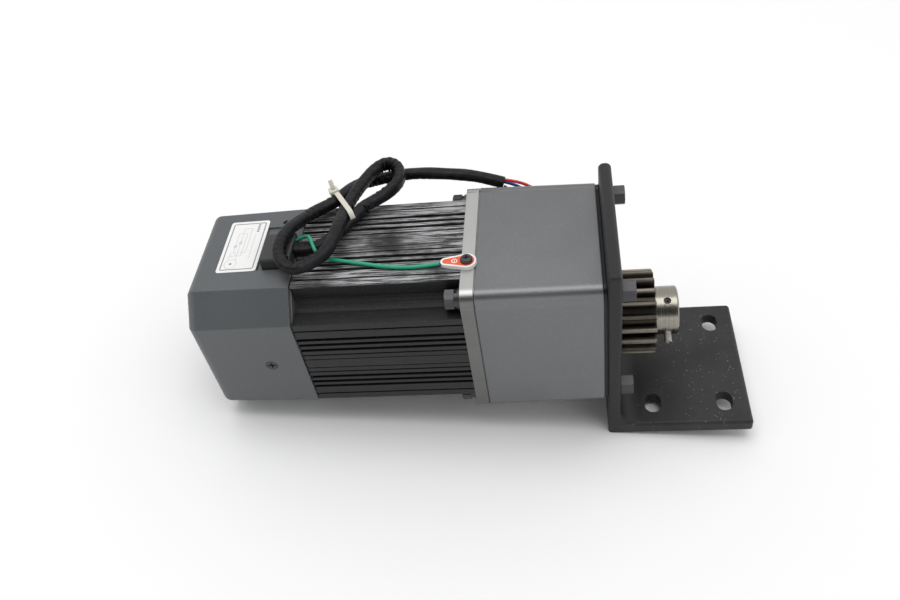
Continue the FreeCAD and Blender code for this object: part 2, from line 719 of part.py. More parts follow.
def cooling_fan():
    """Radial fan: hub, disc and nine straight blades."""
    hub = tube(FAN_X0, FAN_X1, FAN_HUB_R, FAN_BORE_R)
    disc = tube(FAN_X1 - 2, FAN_X1, FAN_R, FAN_HUB_R - 1)
    blades = []
    for i in range(9):
        blade = box(FAN_X0, FAN_X1 - 1, -0.9, 0.9, AXIS_Z + FAN_HUB_R - 0.5, AXIS_Z + FAN_R - 1)
        blade.rotate(Vector(0, 0, AXIS_Z), Vector(1, 0, 0), 40 * i)
        blades.append(blade)
    return hub.fuse([disc] + blades).removeSplitter()


def fan_ring():
    """Retaining ring in the groove outside the fan's hub."""
    ring = tube(FAN_X0 - RING_T, FAN_X0 - 0.05, 7.0, RING_GROOVE_R)
    return ring.cut(box(FAN_X0 - 2, FAN_X0 + 1, -1.2, 1.2, AXIS_Z + 3, AXIS_Z + 8))


def octagon(half, chamfer, x):
    return wire_yz(around([(half, half - chamfer), (half - chamfer, half)]), x)


RECESS = (-228.5, -17.0, 17.0, 1.2)     # rear x, low y, high y, depth
TOP_HOLE = (-219.4, 20.6)
VENT_PITCH = 7.6
VENT_CIRCLE = 35.0      # the slots end on this circle and at a middle rib
VENT_RIB = 2.2
VENT_R = 2.3


def fan_cover():
    """Drafted shell with a rounded rear end, a cable recess and rear vents."""
    outer = Part.makeLoft([octagon(COVER_HALF, COVER_CHAMFER, COVER_X1),
                           octagon(COVER_HALF - COVER_DRAFT, COVER_CHAMFER, COVER_X0)],
                          True, True)
    outer = outer.makeFillet(COVER_ROUND, edges_where(outer, lambda m, e: m.x < COVER_X0 + 0.01))
    half = COVER_HALF - COVER_WALL
    corner = COVER_CHAMFER - COVER_WALL * (2 - sqrt(2))
    inner = Part.makeLoft([octagon(half, corner, COVER_X1 + 1),
                           octagon(half - COVER_DRAFT, corner, COVER_X0 + COVER_WALL)],
                          True, True)
    floor = COVER_X0 + COVER_WALL + 0.01
    inner = inner.makeFillet(COVER_ROUND - COVER_WALL, edges_where(inner, lambda m, e: m.x < floor))
    rear, y0, y1, depth = RECESS
    top = AXIS_Z + COVER_HALF
    cuts = [inner, box(rear, COVER_X1 + 1, y0, y1, top - depth, top + 1)]
    for row in range(-4, 5):
        height = row * VENT_PITCH
        reach = sqrt(VENT_CIRCLE ** 2 - height ** 2)
        cuts += [vent(height, -reach, -VENT_RIB), vent(height, VENT_RIB, reach)]
    cuts += [cross_rod(SCREW_X, s, 38.0, COVER_HALF + 1, 1.7) for s in (-1, 1)]
    cuts += [cross_rod(SCREW_X, s, 43.2, COVER_HALF + 0.2, 1.7, 4.0) for s in (-1, 1)]
    cuts.append(Part.makeCylinder(1.6, 12, Vector(*TOP_HOLE, top - 8)))
    return outer.cut(cuts)


def vent(height, y0, y1):
    """One cooling slot through the rear wall, with round ends."""
    x0, x1 = COVER_X0 - 1, COVER_X0 + COVER_WALL + 1
    z = AXIS_Z + height
    low, high = y0 + VENT_R, y1 - VENT_R
    ends = [rod(x0, x1, VENT_R, y, z) for y in (low, high)]
    return ends[0].fuse([ends[1], box(x0, x1, low, high, z - VENT_R, z + VENT_R)])


def cover_screws():
    """Countersunk screws through the cover into the end bell's lugs."""
    screws = []
    for s in (-1, 1):
        head = cross_rod(SCREW_X, s, 43.4, 45.0, 1.7, 3.3)
        shank = cross_rod(SCREW_X, s, 38.4, 43.4, 1.45)
        cross = [box(SCREW_X - a, SCREW_X + a, min(s * 43.9, s * 46), max(s * 43.9, s * 46),
                     AXIS_Z - b, AXIS_Z + b) for a, b in ((1.9, 0.4), (0.4, 1.9))]
        screws.append(head.fuse(shank).cut(cross))
    return screws


# ------------------------------------------------------------------ fasteners


HEX = 10.0              # across flats
HEAD_H = 5.0
PLAIN_T = 1.6
SPRING_T = 1.6
NUT_H = 6.9
NUT_TURN = radians(135)  # all four nuts were tightened to the same heading


def hex_bar(points, x0, x1, y, z, chamfer_end):
    """Hexagonal bar whose outer end is turned to a 30 degree cone."""
    bar = extrude_x([(y + a, z - AXIS_Z + b) for a, b in points], x0, x1)
    flat, corner = HEX / 2, HEX / 2 + 0.85
    fall = (corner - flat) * tan(radians(30))
    if chamfer_end < 0:
        profile = [(x0, 0), (x0, flat), (x0 + fall, corner), (x1, corner), (x1, 0)]
    else:
        profile = [(x0, 0), (x0, corner), (x1 - fall, corner), (x1, flat), (x1, 0)]
    return bar.common(turned(profile, y, z))


def through_bolts():
    bolts = []
    under = FLANGE_X0 - PLAIN_T - SPRING_T
    for y, z in corners():
        toward = atan2(z - AXIS_Z, y)
        head = hex_bar(hexagon(HEX, toward), under - HEAD_H, under, y, z, -1)
        shank = rod(under, PLATE_X + PLATE_T + NUT_H - 0.5, BOLT_R, y, z)
        bolts.append(head.fuse(shank).removeSplitter())
    return bolts


def spring_washers():
    x1 = FLANGE_X0 - PLAIN_T
    rings = []
    for y, z in corners():
        ring = tube(x1 - SPRING_T, x1, 5.0, BOLT_R, y, z)
        rings.append(ring.cut(box(x1 - 3, x1 + 1, y - 0.5, y + 0.5, z, z + 6)))
    return rings


def plain_washers():
    return [tube(FLANGE_X0 - PLAIN_T, FLANGE_X0, 5.6, BOLT_R, y, z) for y, z in corners()]


def bracket_nuts():
    nuts = []
    x0 = PLATE_X + PLATE_T
    for y, z in corners():
        nut = hex_bar(hexagon(HEX, NUT_TURN), x0, x0 + NUT_H, y, z, 1)
        nuts.append(nut.cut(rod(x0 - 1, x0 + NUT_H + 1, BOLT_R, y, z)))
    return nuts


# ------------------------------------------------------------------ cable


TOP = AXIS_Z + FRAME
SLEEVE_R = 3.0
HANK_R = 3.3
LEAD_R = 0.9
EARTH_R = 1.0
OUTLET = (-226.0, -209.0, -16.0, 5.0, 122.6)    # x0, x1, y0, y1, top

EXIT_ROUTE = [(-209.0, -5.0, 119.8), (-203.0, -5.4, 119.8), (-196.5, -4.0, 120.4),
              (-190.5, -1.6, 121.4), (-186.0, 1.6, 122.0)]

HANK_LOOP = [
    (-188.3, 32.4, 121.2), (-181.6, 41.6, 121.2), (-175.0, 51.0, 121.4), (-168.6, 60.2, 121.6),
    (-161.0, 61.8, 121.8), (-156.8, 55.0, 121.6), (-159.8, 46.4, 121.4), (-165.6, 38.6, 121.2),
    (-171.6, 31.2, 121.2), (-177.5, 24.2, 121.2), (-182.0, 15.8, 121.4), (-184.6, 6.2, 122.0),
    (-186.6, -3.4, 122.6), (-190.6, -12.4, 123.2), (-198.0, -19.6, 124.0),
    (-207.0, -22.6, 125.6), (-214.0, -17.8, 127.0), (-214.8, -8.4, 127.6),
    (-211.6, 1.8, 127.2), (-206.8, 11.4, 125.2), (-201.0, 19.8, 123.0), (-194.8, 26.6, 121.6)]

TAIL_ROUTE = [(-160.5, 47.0, 120.6), (-153.5, 50.2, 118.0), (-144.0, 52.8, 116.8),
              (-132.5, 54.0, 116.4), (-120.0, 53.8, 115.2), (-108.5, 52.8, 112.9),
              (-98.5, 51.5, 109.8)]

LEAD_ROUTES = {
    "red_lead": [(-98.5, 52.0, 111.6), (-91.0, 51.5, 110.2), (-83.5, 51.2, 106.2),
                 (-77.5, 51.6, 99.0), (-74.0, 52.4, 88.5), (-73.2, 53.4, 76.0),
                 (-74.4, 53.8, 63.0), (-76.6, 53.0, 50.5), (-77.6, 53.6, 38.5),
                 (-75.8, 55.0, 27.5), (-71.4, 56.6, 19.0)],
    "blue_lead": [(-98.5, 53.4, 108.8), (-92.4, 53.6, 106.4), (-87.4, 54.0, 101.6),
                  (-84.4, 54.8, 94.0), (-83.2, 55.6, 84.0), (-84.2, 56.0, 73.0),
                  (-86.4, 55.4, 62.0), (-88.2, 55.6, 51.0), (-87.4, 57.0, 40.0),
                  (-84.0, 58.6, 30.5)],
    "black_lead": [(-98.5, 49.9, 108.4), (-95.0, 49.9, 105.4), (-92.8, 50.2, 100.6),
                   (-91.8, 50.8, 92.6), (-92.6, 51.2, 83.0), (-94.8, 51.0, 72.6),
                   (-96.6, 51.4, 62.0), (-96.2, 52.6, 51.4), (-93.6, 54.0, 41.6)],
}

EARTH_ROUTE = [
    (-209.0, 1.6, 119.4), (-206.4, 1.4, 120.6), (-203.6, 0.0, 122.8), (-200.4, -3.4, 124.8),
    (-197.2, -8.0, 123.4), (-194.4, -11.6, 119.9), (-190.0, -13.4, 117.5),
    (-182.0, -14.2, 117.3), (-173.0, -16.2, 117.2), (-162.0, -19.4, 117.2),
    (-150.0, -21.5, 117.2), (-139.0, -21.6, 117.2), (-129.4, -20.2, 117.2)]


def route_wire(route):
    """Straight runs joined by tangent arcs, and the radius of each arc."""
    points = [Vector(*p) for p in route]
    edges = []
    radii = []
    start = points[0]
    for before, corner, after in zip(points, points[1:], points[2:]):
        into = (corner - before).normalize()
        out = (after - corner).normalize()
        turn = acos(max(-1.0, min(1.0, into.dot(out))))
        reach = 0.45 * min((corner - before).Length, (after - corner).Length)
        radius = reach / tan(turn / 2)
        radii.append(radius)
        a, b = corner - into * reach, corner + out * reach
        inward = (out - into).normalize()
        sag = radius / cos(turn / 2) - radius
        edges.append(Part.LineSegment(start, a).toShape())
        edges.append(Part.Arc(a, corner + inward * sag, b).toShape())
        start = b
    edges.append(Part.LineSegment(start, points[-1]).toShape())
    return Part.Wire(edges), radii


def cord(name, route, radius):
    """Round tube along a route."""
    path, radii = route_wire(route)
    start = Vector(*route[0])
    heading = (Vector(*route[1]) - start).normalize()
    section = Part.Wire([Part.makeCircle(radius, start, heading)])
    solid = path.makePipeShell([section], True, True)
    share = solid.Volume / (pi * radius ** 2 * path.Length)
    print(name, "length %.0f" % path.Length, "volume ratio %.4f" % share,
          "radii", [round(r, 1) for r in radii])
    return solid


def ring_of_cord(name, loop, radius):
    """Closed ring of tube, in two lengths that meet end to end in mid run."""
    def middle(a, b):
        return tuple((p + q) / 2 for p, q in zip(loop[a], loop[b]))

    half = len(loop) // 2 - 2
    start, turn = middle(-1, 0), middle(half - 1, half)
    there = cord(name, [start] + loop[:half] + [turn], radius)
    back = cord(name, [turn] + loop[half:] + [start], radius)
    return there.fuse(back)


def cable_outlet():
    """Moulded block in the cover's recess that the leads come out of."""
    x0, x1, y0, y1, top = OUTLET
    floor = AXIS_Z + COVER_HALF - RECESS[3]
    block = box(x0, x1, y0, y1, floor, top)
    rim = edges_where(block, lambda m, e: m.z > top - 0.01 or (m.x < x0 + 0.01 and m.z > floor))
    block = block.makeFillet(1.4, rim)
    return block


TIE_CENTRE = (-182.9, 28.3, 121.2)
TIE_HEADING = 53.0


def cable_tie():
    """Strap round three runs of sleeve, with its head and a short tail."""
    half_w, half_h, thick, width = 10.6, 3.6, 1.1, 2.8

    def stadium(grow):
        straight = half_w - half_h
        radius = half_h + grow
        ends = [Part.makeCylinder(radius, width, Vector(-width / 2, s * straight, 0),
                                  Vector(1, 0, 0)) for s in (-1, 1)]
        middle = box(-width / 2, width / 2, -straight, straight, -radius, radius)
        return ends[0].fuse([ends[1], middle]).removeSplitter()

    strap = stadium(thick).cut(stadium(0.0))
    head = box(-2.9, 2.9, half_w + 0.3, half_w + 5.6, -0.6, 4.6)
    head = head.makeFillet(0.7, head.Edges)
    tail = Part.makeBox(2.6, 9.5, 1.0, Vector(-1.3, 0, -0.5))
    tail.rotate(Vector(0, 0, 0), Vector(1, 0, 0), 52)
    tail.translate(Vector(0, half_w + 3.4, 3.2))
    tie = strap.fuse([head, tail]).removeSplitter()
    tie.rotate(Vector(0, 0, 0), Vector(0, 0, 1), TIE_HEADING)
    tie.translate(Vector(*TIE_CENTRE))
    return tie


TAG_TOP = TOP + 2.2


def earth_tag():
    """Teardrop plastic cover of the earth terminal, lying on the flange."""
    small, large = 2.7, 5.0
    x_small = -126.2
    gap = EARTH_X - x_small
    lean = acos((large - small) / gap)
    big = Part.makeCylinder(large, TAG_TOP - TOP, Vector(EARTH_X, EARTH_Y, TOP))
    little = Part.makeCylinder(small, TAG_TOP - TOP, Vector(x_small, EARTH_Y, TOP))
    points = []
    for sign in (1, -1):
        pair = [Vector(cx - r * cos(lean), EARTH_Y + sign * r * sin(lean), TOP)
                for cx, r in ((EARTH_X, large), (x_small, small))]
        points += pair if sign > 0 else reversed(pair)
    web = Part.Face(Part.makePolygon(points + points[:1])).extrude(Vector(0, 0, TAG_TOP - TOP))
    tag = big.fuse([little, web]).removeSplitter()
    return tag.cut(Part.makeCylinder(EARTH_SCREW_R, 9, Vector(EARTH_X, EARTH_Y, TOP - 3)))


def earth_screw():
    """Pan-head cross-recess screw."""
    foot = Vector(EARTH_X, EARTH_Y, TAG_TOP)
    head = Part.makeCylinder(3.2, 2.2, foot)
    crown = edges_where(head, lambda m, e: m.z > TAG_TOP + 2.1 and e.Length > 15)
    head = head.makeFillet(1.3, crown)
    shank = Part.makeCylinder(EARTH_SCREW_R, 7.5, Vector(EARTH_X, EARTH_Y, TAG_TOP - 7.5))
    arms = [box(EARTH_X - a, EARTH_X + a, EARTH_Y - b, EARTH_Y + b, TAG_TOP + 1.0, TAG_TOP + 3)
            for a, b in ((1.8, 0.38), (0.38, 1.8))]
    return head.fuse(shank).cut(arms)


# ------------------------------------------------------------------ write nodes

save("mounting_bracket", mounting_bracket())
save("gearbox_case", gearbox_case())
save("gearbox_rear_plate", gearbox_rear_plate())
save("gear_shaft_bushes", *gear_shaft_bushes())
save("output_bearing", ball_bearing(FACE_X, 11, BEARING_R, SHAFT_R, OUTPUT_AXIS))
save("output_seal", lip_seal(PLATE_X - 1, 5, SEAL_R, SHAFT_R, OUTPUT_AXIS))

save("motor_shaft", motor_shaft())
save("rotor_core", rotor_core())
save("cooling_fan", cooling_fan())
save("fan_ring", fan_ring())
save("first_wheel", wheel_of(0, IDLER_R))
save("first_idler_shaft", idler_shaft(1))
save("second_wheel", wheel_of(1, IDLER_R))
save("second_idler_shaft", idler_shaft(2))
save("output_gear", output_gear())
save("output_shaft", output_shaft())
save("output_keys", *output_keys())
save("rack_pinion", rack_pinion())
save("set_screws", *set_screws())

save("motor_flange", motor_flange())
save("stator_frame", stator_frame())
save("stator_core", stator_core())
save("stator_windings", *stator_windings())
save("front_bearing", ball_bearing(FRONT_BEARING_X, 11, BEARING_R, SHAFT_R))
save("rear_bearing", ball_bearing(REAR_BEARING_X, REAR_BEARING_W, REAR_BEARING_R, REAR_JOURNAL_R))
save("motor_seal", lip_seal(CASE_X0 - 6, 5, SEAL_R, SHAFT_R))
save("rear_end_bell", rear_end_bell())
save("end_bell_screws", *frame_screws(BELL_X0, 1, 0.0))
save("flange_screws", *frame_screws(CASE_X0, -1, FRAME_SCREW_HEAD + 0.5))
save("fan_cover", fan_cover())
save("cover_screws", *cover_screws())

save("through_bolts", *through_bolts())
save("spring_washers", *spring_washers())
save("plain_washers", *plain_washers())
save("bracket_nuts", *bracket_nuts())

save("cable_outlet", cable_outlet())
save("cable_exit", cord("cable_exit", EXIT_ROUTE, SLEEVE_R))
save("cable_hank", ring_of_cord("cable_hank", HANK_LOOP, HANK_R))
save("cable_tail", cord("cable_tail", TAIL_ROUTE, SLEEVE_R))
save("cable_tie", cable_tie())
for lead, route in LEAD_ROUTES.items():
    save(lead, cord(lead, route, LEAD_R))
save("earth_wire", cord("earth_wire", EARTH_ROUTE, EARTH_R))
save("earth_tag", earth_tag())
save("earth_screw", earth_screw())

for name, axis in (("first idler", FIRST_AXIS), ("second idler", SECOND_AXIS)):
    print(name, "axis y %.3f z %.3f" % place(axis))
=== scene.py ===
# %% [markdown]
# # Sliding gate motor: from a bare frame to a finished picture
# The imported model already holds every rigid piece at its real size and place.
# This lesson lays the cables, gives every piece its finish, and adds the thin
# things that a workshop adds last: a label, a tie, stripped wire ends.

# %% Load the frame
import json
import math
import bmesh
import bpy
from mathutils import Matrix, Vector


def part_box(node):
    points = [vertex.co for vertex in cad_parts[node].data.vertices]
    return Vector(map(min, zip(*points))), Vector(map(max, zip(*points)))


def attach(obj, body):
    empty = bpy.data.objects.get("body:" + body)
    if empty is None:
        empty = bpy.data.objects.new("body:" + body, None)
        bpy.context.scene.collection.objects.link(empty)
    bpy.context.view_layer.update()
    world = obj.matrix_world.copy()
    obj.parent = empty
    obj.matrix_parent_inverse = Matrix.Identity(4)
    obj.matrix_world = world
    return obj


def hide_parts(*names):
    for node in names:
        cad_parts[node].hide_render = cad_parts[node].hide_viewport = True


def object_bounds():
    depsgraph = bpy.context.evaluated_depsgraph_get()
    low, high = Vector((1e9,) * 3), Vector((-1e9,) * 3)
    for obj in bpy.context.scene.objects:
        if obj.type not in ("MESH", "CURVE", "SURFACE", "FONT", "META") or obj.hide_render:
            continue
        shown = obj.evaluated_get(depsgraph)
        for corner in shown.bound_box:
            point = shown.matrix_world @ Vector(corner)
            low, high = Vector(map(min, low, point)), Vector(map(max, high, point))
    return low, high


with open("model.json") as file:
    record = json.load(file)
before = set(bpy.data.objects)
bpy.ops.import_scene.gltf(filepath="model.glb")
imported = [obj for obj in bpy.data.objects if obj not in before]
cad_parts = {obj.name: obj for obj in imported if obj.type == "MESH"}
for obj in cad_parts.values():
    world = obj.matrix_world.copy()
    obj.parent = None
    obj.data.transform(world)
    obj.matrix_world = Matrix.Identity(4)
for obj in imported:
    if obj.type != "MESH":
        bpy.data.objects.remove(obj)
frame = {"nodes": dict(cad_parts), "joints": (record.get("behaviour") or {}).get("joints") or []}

MM = 0.001
cad_box = [list(corner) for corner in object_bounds()]
nodes = frame["nodes"]
print("CAD nodes:", len(nodes), "box:", cad_box)

# %% [markdown]
# ## Camera
# A product shot from the front, above the motor, with a mild wide-angle lens.
# The place is given in millimetres from the frame's origin, and the turns are
# the camera's own Euler angles, so that a reader can type them into the panel.

# %% Camera
CAMERA_PLACE = Vector((-63.25, -334.3, 416.4)) * MM
CAMERA_TURN = [math.radians(a) for a in (43.968, 7.673, 3.704)]

bpy.ops.object.select_all(action="DESELECT")
bpy.ops.object.camera_add(location=CAMERA_PLACE, rotation=CAMERA_TURN)
camera = bpy.context.object
camera.name = "studio_camera"
camera.data.sensor_width = 36.0
camera.data.lens = 34.304
camera.data.clip_start = 0.01
bpy.context.scene.camera = camera
print("camera at mm:", [round(c / MM, 1) for c in CAMERA_PLACE])

# %% [markdown]
# ## Cable routes
# A free cable keeps its length, so it is laid as one smooth spline through
# points listed one by one: out of the outlet block, under the near loop, through
# the tie, round the far loop, back over the top through the tie, round the
# near loop, through the tie a third time, and off to the right behind.
# Points are millimetres, turned to metres once.

# %% Routes
SLEEVE_ROUTE = [
    (-209.0, -5.0, 119.8), (-204.5, -5.4, 119.4), (-199.5, -4.4, 118.9), (-194.5, -1.6, 118.7),
    (-190.0, 3.2, 118.7), (-185.2, 9.0, 118.8), (-180.6, 15.2, 119.4), (-177.0, 20.8, 120.2),
    (-174.8, 24.8, 120.5), (-170.0, 28.4, 120.8), (-164.2, 32.4, 121.4), (-158.3, 38.4, 122.2),
    (-155.4, 45.1, 122.8), (-156.8, 53.7, 123.2), (-161.9, 58.8, 123.4), (-167.0, 58.6, 123.4),
    (-172.0, 53.7, 123.2), (-175.8, 47.0, 122.6), (-179.1, 39.8, 121.8), (-181.8, 33.5, 121.1),
    (-184.1, 25.1, 120.9), (-184.7, 16.6, 122.4), (-185.0, 8.2, 124.2), (-186.1, -3.8, 124.4),
    (-188.4, -12.6, 123.6), (-193.9, -18.9, 122.9), (-199.6, -23.1, 122.9), (-205.3, -25.4, 124.2),
    (-210.2, -23.0, 126.2), (-213.6, -16.2, 126.9), (-214.2, -6.8, 126.9), (-212.0, 2.5, 126.4),
    (-208.3, 12.4, 123.6), (-204.0, 20.6, 121.2), (-197.8, 26.2, 120.6), (-191.8, 30.8, 120.6),
    (-187.6, 37.2, 120.2), (-184.2, 43.6, 119.4), (-180.4, 49.6, 117.4), (-174.2, 54.8, 115.0),
    (-165.8, 57.2, 114.8), (-156.2, 57.8, 115.6), (-147.4, 57.0, 116.4), (-138.2, 55.5, 116.8),
    (-127.7, 53.9, 116.6), (-117.3, 52.9, 115.6), (-108.2, 52.6, 112.9), (-98.5, 51.5, 109.8)]
RED_ROUTE = [
    (-98.5, 52.0, 111.6), (-91.0, 51.5, 110.2), (-83.5, 51.2, 106.2), (-77.5, 51.6, 99.0),
    (-74.0, 52.4, 88.5), (-73.2, 53.4, 76.0), (-74.4, 53.8, 63.0), (-76.6, 53.0, 50.5),
    (-77.6, 53.6, 38.5), (-75.8, 55.0, 27.5), (-71.4, 56.6, 19.0)]
BLUE_ROUTE = [
    (-98.5, 53.4, 108.8), (-92.4, 53.6, 106.4), (-87.4, 54.0, 101.6), (-84.4, 54.8, 94.0),
    (-83.2, 55.6, 84.0), (-84.2, 56.0, 73.0), (-86.4, 55.4, 62.0), (-88.2, 55.6, 51.0),
    (-87.4, 57.0, 40.0), (-84.0, 58.6, 30.5)]
BLACK_ROUTE = [
    (-98.5, 49.9, 108.4), (-95.0, 49.9, 105.4), (-92.8, 50.2, 100.6), (-91.8, 50.8, 92.6),
    (-92.6, 51.2, 83.0), (-94.8, 51.0, 72.6), (-96.6, 51.4, 62.0), (-96.2, 52.6, 51.4),
    (-93.6, 54.0, 41.6)]
EARTH_ROUTE = [
    (-209.0, 1.6, 119.4), (-206.0, 2.2, 120.4), (-202.6, 2.0, 121.8), (-199.9, -0.8, 122.8),
    (-198.0, -5.8, 122.4), (-196.0, -9.6, 120.6), (-193.2, -11.4, 118.4),
    (-189.2, -12.4, 117.4), (-182.0, -14.2, 117.3), (-173.0, -16.2, 117.2),
    (-162.0, -19.4, 117.2), (-150.0, -21.5, 117.2), (-139.0, -21.6, 117.2), (-129.4, -20.2, 117.2)]
print("points in the routes:",
      [len(r) for r in (SLEEVE_ROUTE, RED_ROUTE, BLUE_ROUTE, BLACK_ROUTE, EARTH_ROUTE)])

# %% [markdown]
# ### From points to a spline
# Each route becomes one open NURBS curve, which is how a limp cable hangs: it
# passes near its points and never kinks.  A round cord takes its thickness
# from the curve's bevel.  The bare line is also read back, to measure it.

# %% One smooth spline
SAME_POINT = 0.001 * MM


def laid(name, route, radius=0.0):
    """A cord as one open spline; with a radius it is a round cord already."""
    data = bpy.data.curves.new(name, "CURVE")
    data.dimensions = "3D"
    spline = data.splines.new("NURBS")
    spline.points.add(len(route) - 1)
    for point, (x, y, z) in zip(spline.points, route):
        point.co = (x * MM, y * MM, z * MM, 1.0)
    spline.order_u = 3
    spline.use_endpoint_u = True
    data.resolution_u = 14
    data.bevel_depth = radius
    data.bevel_resolution = 4
    data.use_fill_caps = True
    piece = bpy.data.objects.new(name, data)
    bpy.context.scene.collection.objects.link(piece)
    return piece


def line_of(route):
    """The points along a route's spline, read while it has no thickness."""
    guide = laid("guide", route)
    bpy.context.view_layer.update()
    ready = guide.evaluated_get(bpy.context.evaluated_depsgraph_get())
    mesh = bpy.data.meshes.new_from_object(ready)
    points = [v.co.copy() for v in mesh.vertices]
    bpy.data.meshes.remove(mesh)
    bpy.data.objects.remove(guide)
    # A repeated point has no direction, so it is dropped.
    kept = [b for a, b in zip(points, points[1:]) if (b - a).length > SAME_POINT]
    return points[:1] + kept


def length_of(points):
    """Length along a line of points."""
    return sum((b - a).length for a, b in zip(points, points[1:]))


# %% [markdown]
# ### The soft sleeve
# The supply leads run in a soft sleeve.  It leaves the block pressed flat,
# opens to a fuller section, and stands tall and narrow round the far loop.
# The outer side of a bend stays smooth and the inner side folds into creases.
# A round curve can't show that, so rings of points are built along the spline,
# each with its own width, height and folds.

# %% Sleeve section and creases
RING = 24                       # points round the section
ROUNDNESS = 3.2                 # 2 is an ellipse, and more is squarer
# Width and height in millimetres at the block, and what each stretch adds.
PRESSED = (6.4, 4.2)
OPENED = (0.3, 1.5)
TALL = (-1.2, 1.9)
RELAXED = (-0.3, -0.1)
# Where each change begins and ends, in millimetres along the sleeve.
OPENS = (33, 47)
GROWS_TALL, ENDS_TALL = (58, 70), (92, 104)
RELAXES_BEFORE_END = (75, 45)
CREASE_PER_BEND = 9.0           # a bend of 1/9 radian per millimetre creases fully


def eased(value, low, high):
    """From 0 to 1 between two values, with a soft start and end."""
    t = min(max((value - low) / (high - low), 0.0), 1.0)
    return t * t * (3 - 2 * t)


def headings(points):
    """The way that the line runs at each of its points."""
    ahead = [(b - a).normalized() for a, b in zip(points, points[1:])]
    return [ahead[0]] + [(a + b).normalized() for a, b in zip(ahead, ahead[1:])] + [ahead[-1]]


def bend_at(points, i, reach=4):
    """Turn of the line near a point, in radians per millimetre, and its inner side."""
    a, b, c = points[max(i - reach, 0)], points[i], points[min(i + reach, len(points) - 1)]
    if (b - a).length < 1e-6 or (c - b).length < 1e-6:
        return 0.0, Vector((0, 0, 0))
    u, v = (b - a).normalized(), (c - b).normalized()
    inner = v - u
    if inner.length > 1e-6:
        inner = inner.normalized()
    return u.angle(v) / ((c - a).length / 2 / MM), inner


def section_at(mm, whole_mm):
    """Width and height of the sleeve at a distance along it, in metres."""
    opened = eased(mm, *OPENS)
    relaxed = eased(mm, *(whole_mm - left for left in RELAXES_BEFORE_END))
    tall = eased(mm, *GROWS_TALL) * (1 - eased(mm, *ENDS_TALL))
    return [(flat + a * opened + b * tall + c * relaxed) * MM
            for flat, a, b, c in zip(PRESSED, OPENED, TALL, RELAXED)]


def sleeve_ring(points, ways, i, travelled, whole):
    """One ring of the sleeve round a point of its line."""
    way = ways[i]
    side = way.cross(Vector((0, 0, 1))).normalized()
    rise = side.cross(way).normalized()
    bend, inner = bend_at(points, i)
    crease = min(bend * CREASE_PER_BEND, 1.0)
    mm = travelled / MM
    wide, high = section_at(mm, whole / MM)
    ring = []
    for k in range(RING):
        angle = 2 * math.pi * k / RING
        c, s = math.cos(angle), math.sin(angle)
        full = (abs(c) ** ROUNDNESS + abs(s) ** ROUNDNESS) ** (-1 / ROUNDNESS)
        out = side * (c * full * wide / 2) + rise * (s * full * high / 2)
        toward = max(0.0, out.normalized().dot(inner))
        # Waves of different lengths, so that no fold looks like the next one.
        fold = math.sin(mm * 2.3) * math.sin(mm * 0.61 + 0.6) + 0.5 * math.sin(mm * 1.37 + 3 * s)
        dent = 0.36 * crease * toward * fold + 0.05 * crease * abs(s) * math.sin(mm * 1.9)
        ring.append(points[i] + out * (1 + 0.02 * math.sin(mm * 0.33) + dent))
    return ring


def sleeve_mesh(name, points):
    """Skin over the rings, closed at both ends."""
    mesh = bpy.data.meshes.new(name)
    work = bmesh.new()
    ways = headings(points)
    whole = length_of(points)
    travelled = 0.0
    rings = []
    for i in range(len(points)):
        if i:
            travelled += (points[i] - points[i - 1]).length
        rings.append([work.verts.new(p) for p in sleeve_ring(points, ways, i, travelled, whole)])
    for one, two in zip(rings, rings[1:]):
        for k in range(RING):
            j = (k + 1) % RING
            work.faces.new((one[k], one[j], two[j], two[k]))
    work.faces.new(rings[0])
    work.faces.new(list(reversed(rings[-1])))
    bmesh.ops.recalc_face_normals(work, faces=work.faces)
    work.to_mesh(mesh)
    work.free()
    piece = bpy.data.objects.new(name, mesh)
    bpy.context.scene.collection.objects.link(piece)
    for face in mesh.polygons:
        face.use_smooth = True
    return piece


sleeve_line = line_of(SLEEVE_ROUTE)
sleeve = sleeve_mesh("supply_sleeve", sleeve_line)
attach(sleeve, "housing")
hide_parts("cable_exit", "cable_hank", "cable_tail")
print("sleeve length mm:", round(length_of(sleeve_line) / MM))

# %% [markdown]
# ### Cable tie
# A nylon tie holds three runs of the sleeve together.  Its strap starts as an
# open cylinder whose halves are pulled apart, gets its thickness from a
# solidify modifier, and ends in a square head with a slot and a cut-off tail.

# %% Tie
TIE_CENTRE = Vector((-185.3, 24.8, 120.9)) * MM
TIE_TURN = math.radians(31.5)
TIE_HALF_W, TIE_HALF_H, TIE_WIDE, TIE_THICK = 11.6 * MM, 3.75 * MM, 2.8 * MM, 0.9 * MM
HEAD_SIZE = (5.2 * MM, 4.8 * MM, 4.6 * MM)
HEAD_PLACE = (0, TIE_HALF_W + 2.9 * MM, 1.6 * MM)
HEAD_TOP = 3.9 * MM
TAIL_SIZE = (2.4 * MM, 0.9 * MM, 6.4 * MM)
TAIL_PLACE = (0, TIE_HALF_W + 4.0 * MM, 5.6 * MM)
TAIL_LEAN = math.radians(24)


def pick(piece, wanted):
    """Select the vertices that answer a question about their place."""
    work = bmesh.from_edit_mesh(piece.data)
    for vertex in work.verts:
        vertex.select_set(wanted(vertex.co))
    work.select_flush_mode()
    bmesh.update_edit_mesh(piece.data)


def apply_modifiers(piece):
    """Turn the piece's modifiers into mesh, in their order."""
    bpy.context.view_layer.objects.active = piece
    for modifier in list(piece.modifiers):
        bpy.ops.object.modifier_apply(modifier=modifier.name)


